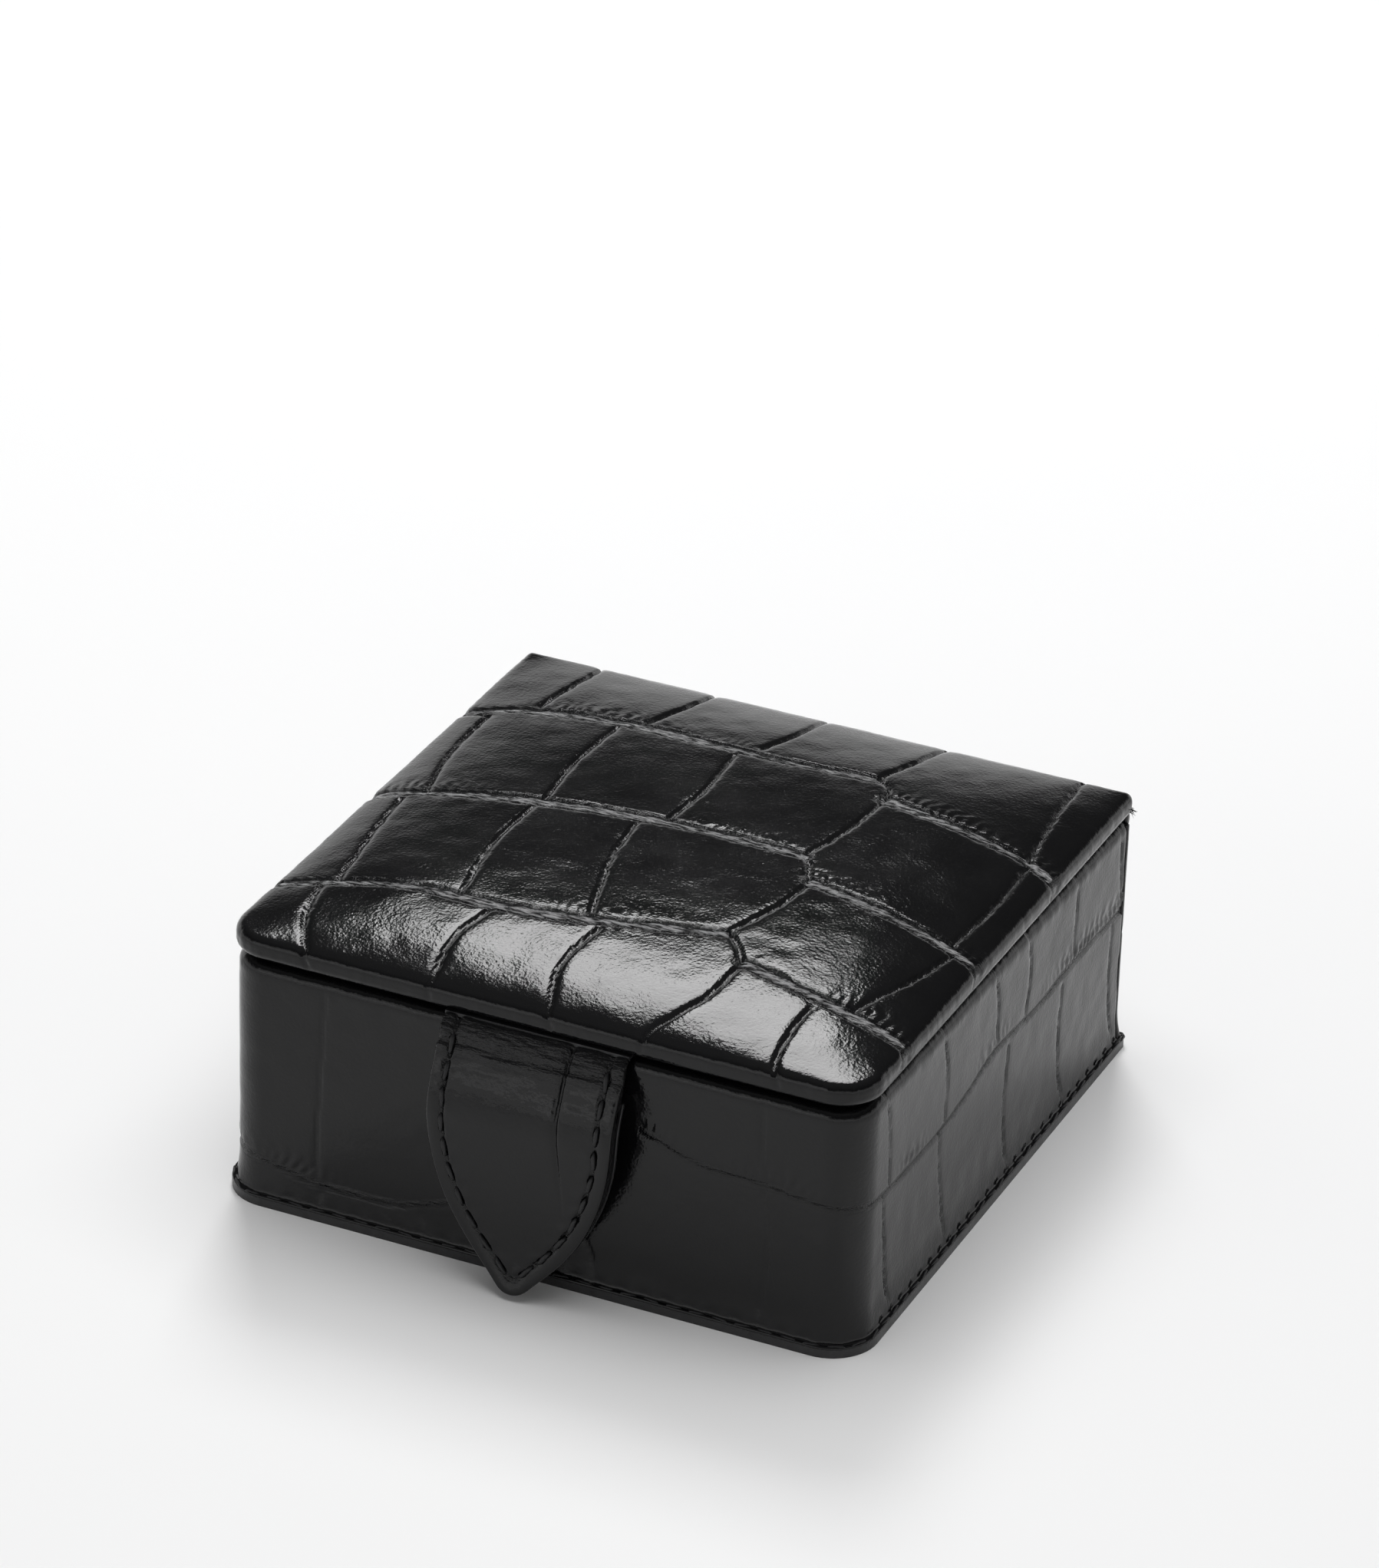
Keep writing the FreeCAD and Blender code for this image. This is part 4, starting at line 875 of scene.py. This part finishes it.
def tab_line():
    """The tab's face from its tip up to the lid, as rows of y, z and tilt back from the upright."""
    rows = list(POINT_CENTRE - POINT_ROUND * np.cos(np.linspace(0.02, math.pi / 2, 14)))
    rows += list(np.arange(POINT_CENTRE + TAB_STEP, TAB_NECK, TAB_STEP))
    knee_top = TAB_KNEE + TAB_KNEE_ROUND * math.sin(TAB_SLOPE)
    knee_run = TAB_KNEE_ROUND * (1 - math.cos(TAB_SLOPE))
    line = []
    for level in rows:
        if level < TAB_CURL:
            tilt = -math.asin((TAB_CURL - level) / TAB_CURL_ROUND)
            depth = TAB_FRONT - TAB_CURL_ROUND * (1 - math.cos(tilt))
        elif level < TAB_KNEE:
            tilt = 0.0
            depth = TAB_FRONT
        elif level < knee_top:
            tilt = math.asin((level - TAB_KNEE) / TAB_KNEE_ROUND)
            depth = TAB_FRONT + TAB_KNEE_ROUND * (1 - math.cos(tilt))
        else:
            tilt = TAB_SLOPE
            depth = TAB_FRONT + knee_run + (level - knee_top) * math.tan(TAB_SLOPE)
        line.append((depth, level, tilt))
    depth, level, _ = line[-1]
    for tilt in np.linspace(TAB_SLOPE, math.pi / 2, 16)[1:]:
        line.append((
            depth + TAB_NECK_ROUND * (math.cos(TAB_SLOPE) - math.cos(tilt)),
            level + TAB_NECK_ROUND * (math.sin(tilt) - math.sin(TAB_SLOPE)),
            tilt,
        ))
    return np.array(line)


def side_half(level, inset=0.0):
    """Half the width between the tab's sides, or between lines inset from them, without its round tip."""
    turn = SHOULDER_ROUND - inset
    below = np.maximum(0, SHOULDER - level)
    arc = TAB_HALF - SHOULDER_ROUND + np.sqrt(np.maximum(0, turn**2 - below**2))
    apex = POINT_CENTRE - (POINT_ROUND - inset) / math.sin(POINT_ANGLE)
    flank = np.maximum(0, (level - apex) * math.tan(POINT_ANGLE))
    return np.where(level > SHOULDER - turn * math.sin(POINT_ANGLE), arc, flank)


def tab_half(level):
    """Half the tab's width at a height."""
    tip = np.sqrt(np.maximum(0, POINT_ROUND**2 - (POINT_CENTRE - level) ** 2))
    return np.where(level < POINT_CENTRE - POINT_ROUND * math.sin(POINT_ANGLE), tip, side_half(level))


TIP_TURN = 0.8  # radians of the tip's round end, each side
edge_levels = np.concatenate((
    POINT_CENTRE - POINT_ROUND * np.cos(np.linspace(0, TIP_TURN, 20)),
    np.linspace(POINT_CENTRE - POINT_ROUND * math.cos(TIP_TURN) + 0.1, SHOULDER, 60),
    [60.0],
))
TAB_OUTLINE = np.vstack((
    np.column_stack((-tab_half(edge_levels), edge_levels))[:0:-1],
    np.column_stack((tab_half(edge_levels), edge_levels)),
))
tab_rows = tab_line()
TAB_SHARES = np.sin(np.linspace(-1, 1, 181) * math.pi / 2 * GRID_EASE) / math.sin(math.pi / 2 * GRID_EASE)


def tab_surface(rows, depth):
    """A grid at a depth behind the tab's face."""
    half = np.maximum(tab_half(rows[:, 1]), 0.03)
    x = half[:, None] * TAB_SHARES
    tilt = rows[:, 2, None]
    y = np.broadcast_to(rows[:, 0, None] + depth * np.cos(tilt), x.shape)
    z = np.broadcast_to(rows[:, 1, None] - depth * np.sin(tilt), x.shape)
    return np.stack((x, y, z), -1)


def tab_depth(rows, lift):
    """The move that lifts the face's grid outwards."""
    tilt = rows[:, 2, None]
    return np.stack((0 * lift, -lift * np.cos(tilt), lift * np.sin(tilt)), -1)


def tab_relief(rows):
    """The lift of the tab's face: rolled edges, a sunk seam, one groove, and creases where it bends; and
    its share of painted sheen.
    """
    x = tab_half(rows[:, 1])[:, None] * TAB_SHARES
    run = np.concatenate(([0], np.hypot(np.diff(rows[:, 0]), np.diff(rows[:, 1])).cumsum())) + TAB_LOW
    level = np.broadcast_to(rows[:, 1, None], x.shape)
    along = np.broadcast_to(run[:, None], x.shape)
    _, across, length = nearest(x.ravel(), level.ravel(), TAB_OUTLINE, 60.0)
    distance = np.abs(across).reshape(x.shape)
    place = length.reshape(x.shape)
    holes = 0.5 + 0.5 * np.cos(2 * math.pi * place / TAB_PITCH)
    seam = bell(distance - SEAM_INSET, 0.38) * (0.3 + 0.28 * holes)
    pucker = bell(distance - SEAM_INSET - 0.9, 0.8) * 0.09 * (holes - 0.5)
    border = 0.12 * bell(distance - 0.9, 0.7)
    groove_line = curve(((5.4, 35.5), (5.0, 31), (5.1, 26), (5.6, 21), (6.4, 15), (6.6, 10)))
    near, across, length = nearest(x.ravel(), level.ravel(), groove_line, 3.0)
    groove = np.zeros(x.size)
    groove[near] = 0.6 * bell(across, 0.22) + 0.16 * bell(across, 0.8)
    groove[near] *= np.clip(1.25 - length / 19, 0, 1)
    groove = groove.reshape(x.shape)
    neck = np.clip((level - 31.2) / 1.6, 0, 1) * np.clip((37.5 - level) / 1.0, 0, 1)
    folds = noise(x, along, 6.0, 0.75, 71) * 0.1 + noise(x, along, 2.2, 0.4, 72) * 0.05
    folds -= 0.35 * bell(along - along.max() + 4.4 + 0.3 * streaks(x, 4.0, 73), 0.35)
    wrinkles = noise(x, along, 3.6, 1.3, 74) * 0.07 + noise(x, along, 1.1, 0.5, 75) * 0.02
    soft = np.clip((level - 24) / 5, 0, 1) * wrinkles
    even = noise(x, along, 6.0, 6.0, 76) * 0.05
    lift = edge_round(distance, 0.4) - seam + pucker + border - groove + folds * neck + soft + even
    # painted sheen where the face bends at its neck and along the seam
    return lift, np.clip(neck * 0.3 + bell(distance - SEAM_INSET, 0.4) * 0.3, 0, 1)


face_lift, face_sheen = tab_relief(tab_rows)
thin = np.interp(tab_rows[:, 1], (LAYERS_TOP, TAB_NECK, 35.6), (FACE_THICK, 0.85, 0.45))[:, None]
face = tab_surface(tab_rows, 0.0) + tab_depth(tab_rows, face_lift)
face_back = tab_surface(tab_rows, thin)
tab_cover = slab_between(
    "tab_cover", face, face_back, CROC,
    painted_sheen=face_sheen, stands_for=("tab_leather", "tab_bend"),
)
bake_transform(tab_cover)

lining_rows = tab_rows[tab_rows[:, 1] <= LAYERS_TOP]
lining_depth = FACE_THICK + FILLER_THICK
lining_half = tab_half(lining_rows[:, 1])[:, None]
aside = np.abs(TAB_SHARES)[None] * lining_half
lining_lift = edge_round(lining_half - aside, 0.3)
lining_lift += 0.03 * noise(aside, lining_rows[:, 1, None] + 0 * aside, 3, 3, 81)
lining_face = tab_surface(lining_rows, lining_depth + 0.04)
lining_back = tab_surface(lining_rows, lining_depth + LINING_THICK) - tab_depth(lining_rows, lining_lift)
slab_between(
    "tab_lining", lining_face, lining_back, PLAIN,
    body="tab", stands_for=("tab_back_leather",),
)

# ---- stitching

STITCH_LENGTH = 2.35
STITCH_RINGS = 9
STITCH_SIDES = 8
STITCH_SLANT = 0.12
STITCH_DIP = 0.14  # how far the thread's ends sink
TWIST = 0.16  # share of the thread's radius that its plies add


def stitching(name, places, ups, aheads, body, stands_for, length=STITCH_LENGTH, arch=0.06, width=0.36):
    """Twisted stitches, each a short arched length of thread whose ends dip into the leather."""
    points = []
    faces = []
    for number, (place, up, ahead) in enumerate(zip(places, ups, aheads)):
        side = np.cross(ahead, up)
        start = number * STITCH_RINGS * STITCH_SIDES
        slant = STITCH_SLANT * math.sin(number * 2.3)
        for t in np.linspace(-1, 1, STITCH_RINGS):
            rise = arch * (1 - t * t) - STITCH_DIP * abs(t) ** 5
            centre = place + ahead * t * length / 2 + side * slant * t + up * rise
            thick = width / 2 * (1 - 0.55 * t**6)
            for turn in np.linspace(0, 2 * math.pi, STITCH_SIDES, endpoint=False):
                ply = thick * (1 + TWIST * math.cos(2 * turn + 4.5 * t))
                points.append(centre + ply * (math.cos(turn) * side + math.sin(turn) * up))
        faces += (grid_faces(STITCH_RINGS, STITCH_SIDES, False, True) + start).tolist()
        faces.append(list(range(start, start + STITCH_SIDES)))
        last = start + (STITCH_RINGS - 1) * STITCH_SIDES
        faces.append(list(range(last, last + STITCH_SIDES)))
    piece(name, points, faces, THREAD, body=body, stands_for=stands_for)


def spaced(line, pitch, first):
    """Places every pitch along a line, and the directions there."""
    spans = np.linalg.norm(np.diff(line, axis=0), axis=1)
    length = np.concatenate(([0], spans.cumsum()))
    at = np.arange(first, length[-1] - pitch * 0.4, pitch)
    places = np.column_stack([np.interp(at, length, axis) for axis in line.T])
    ahead = np.column_stack([np.interp(at + 0.3, length, axis) for axis in line.T]) - places
    return places, ahead / np.linalg.norm(ahead, axis=1)[:, None]


seam_inset = FOOT_LAND / 2
seam_places = stations(
    FOOT_HALF - seam_inset, -FOOT_HALF + seam_inset, back_high[1] - seam_inset,
    WALL_ROUND + FOOT_HALF - WALL_HALF - seam_inset, 0.2, closed=True,
)
seam = np.column_stack((seam_places[:, :2], np.full(len(seam_places), FOOT_TOP - 0.06)))
seam = np.vstack((seam, seam[:1]))
places, aheads = spaced(seam, STITCH_PITCH, 1.2)
corner_gap = np.hypot(np.abs(places[:, 0]) - seam[:, 0].max(), places[:, 1] - seam[:, 1].max())
clear = corner_gap > STITCH_LENGTH / 2  # no stitch crosses a square rear corner
places, aheads = places[clear], aheads[clear]
ups = np.tile((0.0, 0.0, 1.0), (len(places), 1))
stitching("base_stitches", places, ups, aheads, "case", ("base_stitching",))

level = np.linspace(LAYERS_TOP + 2.6, TAB_LOW + SEAM_INSET / math.sin(POINT_ANGLE) * 0.82, 200)
tab_places = []
tab_ups = []
tab_aheads = []
for sign in (-1, 1):
    depth = np.interp(level, tab_rows[:, 1], tab_rows[:, 0])
    tilt = np.interp(level, tab_rows[:, 1], tab_rows[:, 2])
    line = np.column_stack((sign * side_half(level, SEAM_INSET), depth + 0.2 * np.cos(tilt), level))
    places, aheads = spaced(line, TAB_PITCH, 0.9)
    lean = np.interp(places[:, 2], tab_rows[:, 1], tab_rows[:, 2])
    ups = np.column_stack((0 * lean, -np.cos(lean), np.sin(lean)))
    tab_places.append(places)
    tab_ups.append(ups)
    tab_aheads.append(aheads)
stitching(
    "tab_stitches", np.vstack(tab_places), np.vstack(tab_ups), np.vstack(tab_aheads), "tab",
    ("tab_stitching",), length=2.7, arch=0.12, width=0.6,
)

# ---- hinge

strip_low = low("outer_hinge_leather")
strip_high = high("outer_hinge_leather")
strip_share = np.linspace(0, 1, 15)
strip_x = np.linspace(strip_low[0] + 0.3, strip_high[0] - 0.3, 220)
strip_z = strip_low[2] - 0.5 + (strip_high[2] - 0.15 - strip_low[2] + 0.5) * strip_share
bulge = 0.25 * np.sin(math.pi * strip_share)
sx, sz = np.meshgrid(strip_x, strip_z, indexing="ij")
sy = BACK_FACE + bulge[None] + 0.04 * noise(sx, sz, 1.3, 0.6, 91) - 0.05
strip_front = np.stack((sx, sy, sz), -1)
strip_back = np.stack((sx, 0 * sx + BACK_FACE - 0.7, sz), -1)
hinge_strip = slab_between(
    "hinge_strip", strip_front, strip_back, PLAIN, stands_for=("outer_hinge_leather",)
)
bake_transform(hinge_strip)

fold_low = low("inner_hinge_lining")
fold_high = high("inner_hinge_lining")
fold_line = curve((
    (40.25, fold_low[2] + 0.1), (40.25, 33.2), (40.5, 34.6), (41.4, 35.35), (42.6, 35.62), (43.6, 35.7),
), 5)
fold_x = np.linspace(fold_low[0] + 0.2, fold_high[0] - 0.2, 160)
fx, fold_row = np.meshgrid(fold_x, np.arange(len(fold_line)), indexing="ij")
fy = fold_line[fold_row, 0] + 0.05 * noise(fx, fold_row * 1.0, 2.5, 3.0, 93)
fz = fold_line[fold_row, 1] + 0.04 * noise(fx, fold_row * 1.0, 3.5, 2.0, 94)
fold_front = np.stack((fx, fy, fz), -1)
fold_back = fold_front + np.array((0.0, 0.28, -0.22))
hinge_fold = slab_between(
    "hinge_fold", fold_front, fold_back, PLAIN, stands_for=("inner_hinge_lining",)
)
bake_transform(hinge_fold)

# a few loose fibres at the lid's rear right corner
FRAY_PLACE = np.array((44.7, 44.9, 36.2))
FIBRES = 9
FIBRE_RINGS = 6
FIBRE_SIDES = 5
FIBRE_RADIUS = 0.09
rng = np.random.default_rng(7)
fray_points = []
fray_faces = []
for number in range(FIBRES):
    root = FRAY_PLACE + (rng.uniform(-0.5, 0.1), rng.uniform(-0.9, 0.1), rng.uniform(-0.3, 0.5))
    lean = np.array((rng.uniform(0.5, 1.0), rng.uniform(-0.5, 0.3), rng.uniform(-0.3, 0.6)))
    bow = np.array((rng.uniform(-0.4, 0.4), rng.uniform(-0.4, 0.4), -0.4))
    for t in np.linspace(0, 1, FIBRE_RINGS):
        centre = root + lean * t * rng.uniform(0.95, 1.05) + bow * t * t
        for corner in range(FIBRE_SIDES):
            angle = corner * 2 * math.pi / FIBRE_SIDES
            spoke = np.array((0.3 * math.sin(angle), math.cos(angle), math.sin(angle)))
            fray_points.append(centre + spoke * FIBRE_RADIUS * (1.1 - t))
    first = number * FIBRE_RINGS * FIBRE_SIDES
    last = first + (FIBRE_RINGS - 1) * FIBRE_SIDES
    fray_faces += (grid_faces(FIBRE_RINGS, FIBRE_SIDES, False, True) + first).tolist()
    fray_faces += [list(range(start, start + FIBRE_SIDES)) for start in (first, last)]
piece("frayed_edge", fray_points, fray_faces, PLAIN, body="lid")

# ---- inside the case


def soft_noise(scale, seed):
    def relief(u, v, skirt):
        return scale * noise(u, v, 6.0, 6.0, seed) + scale * 0.4 * noise(u, v, 1.7, 1.7, seed + 1), 0 * u

    return relief


def side_rings(top, bottom, round_edge):
    """Rings for a rounded upper edge and an upright side."""
    rings = []
    for tilt in np.linspace(math.radians(20), math.pi / 2, 6):
        rings.append((round_edge * (1 - math.sin(tilt)), top - round_edge * (1 - math.cos(tilt)), tilt))
    for level in np.linspace(top - round_edge, bottom, 7)[1:]:
        rings.append((0.0, level, math.pi / 2 if level > bottom + 0.5 else None))
    return rings


def crowned(
    name, low_corner, high_corner, rise, round_edge, step, stands_for, seed, scale, power=2.0, corner=1.2
):
    """A suede block in the case: crowned top, rounded edges, upright sides."""
    half = (high_corner - low_corner) / 2
    middle = (high_corner + low_corner) / 2
    edge_level = high_corner[2] - rise

    def crown(a, b):
        across = np.maximum(0, 1 - np.abs(a) ** power)
        ends = np.maximum(0, 1 - np.abs(b) ** 12)
        return edge_level - 0.02 + (rise - 0.1) * (across * ends) ** 0.7

    rings = side_rings(edge_level, low_corner[2], round_edge)
    inset = rings[0][0] + 0.05
    return pillow(
        name, half[0], half[1], middle[1], (corner, corner), inset, crown, rings, step, SUEDE,
        relief=soft_noise(scale, seed), middle_x=middle[0], body="case", stands_for=stands_for,
    )


floor_low = low("floor_foam")
floor_high = high("floor_lining")
ROOM_BACK = 40.0
PAD_TUCK = 0.7  # the floor pad's edge under the wall lining
pad_low = np.array((-ROOM_HALF - PAD_TUCK, -ROOM_HALF - PAD_TUCK, floor_low[2]))
pad_high = np.array((ROOM_HALF + PAD_TUCK, ROOM_BACK + PAD_TUCK, floor_high[2]))
floor_pad = crowned(
    "floor_pad", pad_low, pad_high, 0.45, 0.4, 0.9, ("floor_lining", "floor_foam"), 101, 0.05, power=10.0
)
ROLL_GAP = np.array((0.02, 0.1, 0))
for seed, side in enumerate(("left", "middle", "right"), 110):
    node = f"ring_roll_{side}"
    gone = (node, "ring_roll_foams") if side == "left" else (node,)
    corners = (low(node) + ROLL_GAP, high(node) - ROLL_GAP)
    roll = crowned(f"ring_cushion_{side}", *corners, 4.2, 0.9, 0.45, gone, seed, 0.1)
crowned(
    "long_divider", low("long_divider_cover"), high("long_divider_cover"), 0.55, 0.35, 0.4,
    ("long_divider_cover", "long_divider_board"), 121, 0.03, corner=0.5,
)
cross_low = low("cross_divider_cover")
cross_high = high("cross_divider_cover")
cross_half = (cross_high - cross_low) / 2
RIDGE_RISE = 0.6


def ridge(a, b):
    """The cross divider's top, crowned from front to back and square at its ends."""
    across = np.maximum(0, 1 - b**2) ** 0.6
    return cross_high[2] - RIDGE_RISE + 0.55 * across * np.maximum(0, 1 - np.abs(a) ** 14) ** 0.6


pillow(
    "cross_divider", cross_half[0], cross_half[1], 0.0, (0.4, 0.4), 0.28, ridge,
    side_rings(cross_high[2] - RIDGE_RISE, cross_low[2], 0.35), 0.4, SUEDE,
    relief=soft_noise(0.03, 131), middle_x=(cross_low[0] + cross_high[0]) / 2, body="case",
    stands_for=("cross_divider_cover", "cross_divider_board"),
)

LINING_LOW = low("wall_lining")[2]
LINING_THICKNESS = 0.8


def lining_section():
    points = [(LINING_THICKNESS, LINING_LOW), (LINING_THICKNESS, LINING_TOP)]
    points += arc_points((0.4, LINING_TOP - 0.02), 0.38, 60, 175, 5)
    points += [(0.03 * math.sin(level), level) for level in np.linspace(LINING_TOP - 0.6, LINING_LOW, 26)]
    return points


def lining_relief(along, outward, level):
    lift = 0.05 * noise(along, level, 6.0, 6.0, 141) * (outward < 0.3)
    return lift, 0 * lift


lining_places = stations(ROOM_HALF, -ROOM_HALF, ROOM_BACK, 1.0, 0.8, closed=True, round_rear=1.0)
sweep(
    "case_lining", lining_places, lining_section(), SUEDE, closed=True, relief=lining_relief,
    body="case", stands_for=("wall_lining",),
)

# ---- inside the lid

frame_low = low("lid_lining")
frame_high = high("lid_lining")
SIGHT = 29.0
OUT = frame_high[0]
FRAME_ROUND = 2.0
FRAME_EDGE = 0.9
SIGHT_EDGE = 0.7
REBATE = 2.05  # the mirror's edge behind the frame
MIRROR_LEVELS = (34.9, 35.0)  # the mirror's face and the frame's seat beside it
SIDE_TICKS = 100
ticks = np.linspace(-1, 1, SIDE_TICKS, endpoint=False)
ring_a = np.concatenate((0 * ticks - 1, ticks, 0 * ticks + 1, -ticks))
ring_b = np.concatenate((-ticks, 0 * ticks - 1, ticks, 0 * ticks + 1))
sight_ring, _ = rounded_ring(ring_a, ring_b, SIGHT, SIGHT, 1.0, 1.0, 0.0)
outer_ring, _ = rounded_ring(ring_a, ring_b, OUT, OUT, FRAME_ROUND, FRAME_ROUND, 0.0)
spread = (outer_ring - sight_ring) / (OUT - SIGHT)
ring_length = np.arange(len(ring_a)) * SIGHT / (SIDE_TICKS / 2)
frame_places = np.column_stack((sight_ring - spread * SIGHT, spread, ring_length))


def frame_section():
    top = frame_high[2]
    soft = frame_low[2]
    face, seat = MIRROR_LEVELS
    points = [(OUT, top)]
    points += arc_points((OUT - FRAME_EDGE, soft + 1.0), FRAME_EDGE, 0, -75, 6)
    for share in np.linspace(0, 1, 16)[1:-1]:
        out = OUT - 1.2 + (SIGHT + 1.3 - OUT + 1.0) * share
        points.append((out, soft + 0.12 - 0.1 * math.sin(math.pi * share)))
    points += arc_points((SIGHT + SIGHT_EDGE, soft + 0.75), SIGHT_EDGE, 260, 180, 6)
    points += [(SIGHT, face), (SIGHT + REBATE, face), (SIGHT + REBATE, seat)]
    return points + [(OUT - 0.8, seat), (OUT - 0.8, top)]


def frame_relief(along, outward, level):
    uneven = 0.07 * noise(along, outward, 5.0, 4.0, 151) + 0.02 * noise(along, outward, 1.4, 1.4, 152)
    lift = uneven * np.clip((34.0 - level) / 0.6, 0, 1)
    return lift, 0 * lift


lid_frame = sweep(
    "lid_mirror_frame", frame_places, frame_section(), SUEDE, closed=True, relief=frame_relief,
    body="lid", stands_for=("lid_lining",),
)

# ---- CAD parts that stay

BOARDS = ("base_board", "front_wall_board", "back_wall_board", "left_wall_board", "right_wall_board")
FINISHES = (  # material, width of the softened edges, nodes
    (PLAIN, 0.25, ("base_leather",)),
    (PLAIN, 0.1, ("tab_root",)),
    (BOARD, 0.1, (*BOARDS, "lid_board")),
    (BOARD, 0.05, ("lid_filler_card", "lid_lining_board")),
    (WOOD, 0.1, ("front_corner_blocks",)),
    (MIRROR, 0.35, ("mirror",)),
    (BLACK_FOAM, 0.1, ("tab_filler",)),
    (NICKEL, 0.3, ("magnet_cup", "snap_striker")),
    (NICKEL, 0.12, ("cup_washer", "striker_washer")),
    (MAGNET, 0.15, ("tab_magnet",)),
)
for finish, bevel, node in ((finish, bevel, node) for finish, bevel, nodes in FINISHES for node in nodes):
    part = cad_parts[node]
    part.data.materials.clear()
    part.data.materials.append(finish)
    edge = part.modifiers.new("edge", "BEVEL")
    edge.width = bevel * MM
    edge.segments = 3
    edge.limit_method = "ANGLE"

# ---- stage, lights, camera


def floor():
    s = Surface("studio_floor", (0.86, 0.86, 0.86), 0.55)
    s.colours(s.noise(3, 3), (0.3, (0.85, 0.85, 0.855)), (0.7, (0.87, 0.87, 0.87)))
    mesh = bpy.data.meshes.new("floor")
    half = 3.0
    corners = [(-half, -half, 0), (half, -half, 0), (half, half, 0), (-half, half, 0)]
    mesh.from_pydata(corners, [], [(0, 1, 2, 3)])
    mesh.materials.append(s.material)
    made = bpy.data.objects.new("floor", mesh)
    scene.collection.objects.link(made)


def softbox(name, azimuth, elevation, distance, width, height, radiance, glossy=True):
    """A rectangular lamp facing the box. Azimuth is clockwise from +Y, seen from above."""
    lamp = bpy.data.lights.new(name, "AREA")
    lamp.shape = "RECTANGLE"
    lamp.size = width
    lamp.size_y = height
    lamp.energy = radiance * math.pi * width * height
    made = bpy.data.objects.new(name, lamp)
    a, e = math.radians(azimuth), math.radians(elevation)
    made.location = distance * Vector((math.sin(a) * math.cos(e), math.cos(a) * math.cos(e), math.sin(e)))
    made.rotation_euler = made.location.to_track_quat("Z", "Y").to_euler()
    made.visible_glossy = glossy
    scene.collection.objects.link(made)


floor()
softbox("key_softbox", -26, 50, 1.1, 0.31, 0.38, 10.5)
softbox("overhead", 20, 82, 1.6, 1.6, 1.6, 2.5, glossy=False)
softbox("front_fill", 204, 24, 1.3, 0.9, 0.42, 0.85)

world = bpy.data.worlds.new("studio")
scene.world = world
world.use_nodes = True
sky = world.node_tree
direction = sky.nodes.new("ShaderNodeTexCoord")
parts = sky.nodes.new("ShaderNodeSeparateXYZ")
ramp = sky.nodes.new("ShaderNodeValToRGB")
sky.links.new(direction.outputs["Generated"], parts.inputs[0])
sky.links.new(parts.outputs["Z"], ramp.inputs["Fac"])
sky.links.new(ramp.outputs["Color"], sky.nodes["Background"].inputs["Color"])
SKY = ((0.0, 1.1), (0.25, 0.9), (0.38, 0.14), (0.5, 0.06), (1.0, 0.25))  # brightness by height
while len(ramp.color_ramp.elements) < len(SKY):
    ramp.color_ramp.elements.new(0.5)
for element, (place, value) in zip(ramp.color_ramp.elements, SKY):
    element.position = place
    element.color = (value, value, value, 1)

CAMERA_PLACE = Vector((0.324766, -0.731776, 0.475083))
CAMERA_AZIMUTH = math.radians(23.94)
CAMERA_DOWN = math.radians(27.95)
CAMERA_ROLL = math.radians(1.83)
camera = bpy.data.cameras.new("camera")
camera.lens = 160.41
camera.clip_start = 0.01
shot = bpy.data.objects.new("camera", camera)
turn = Matrix.Rotation(CAMERA_AZIMUTH, 4, "Z") @ Matrix.Rotation(math.pi / 2 - CAMERA_DOWN, 4, "X")
shot.matrix_world = Matrix.Translation(CAMERA_PLACE) @ turn @ Matrix.Rotation(CAMERA_ROLL, 4, "Z")
scene.collection.objects.link(shot)
scene.camera = shot
scene.view_settings.view_transform = "Standard"
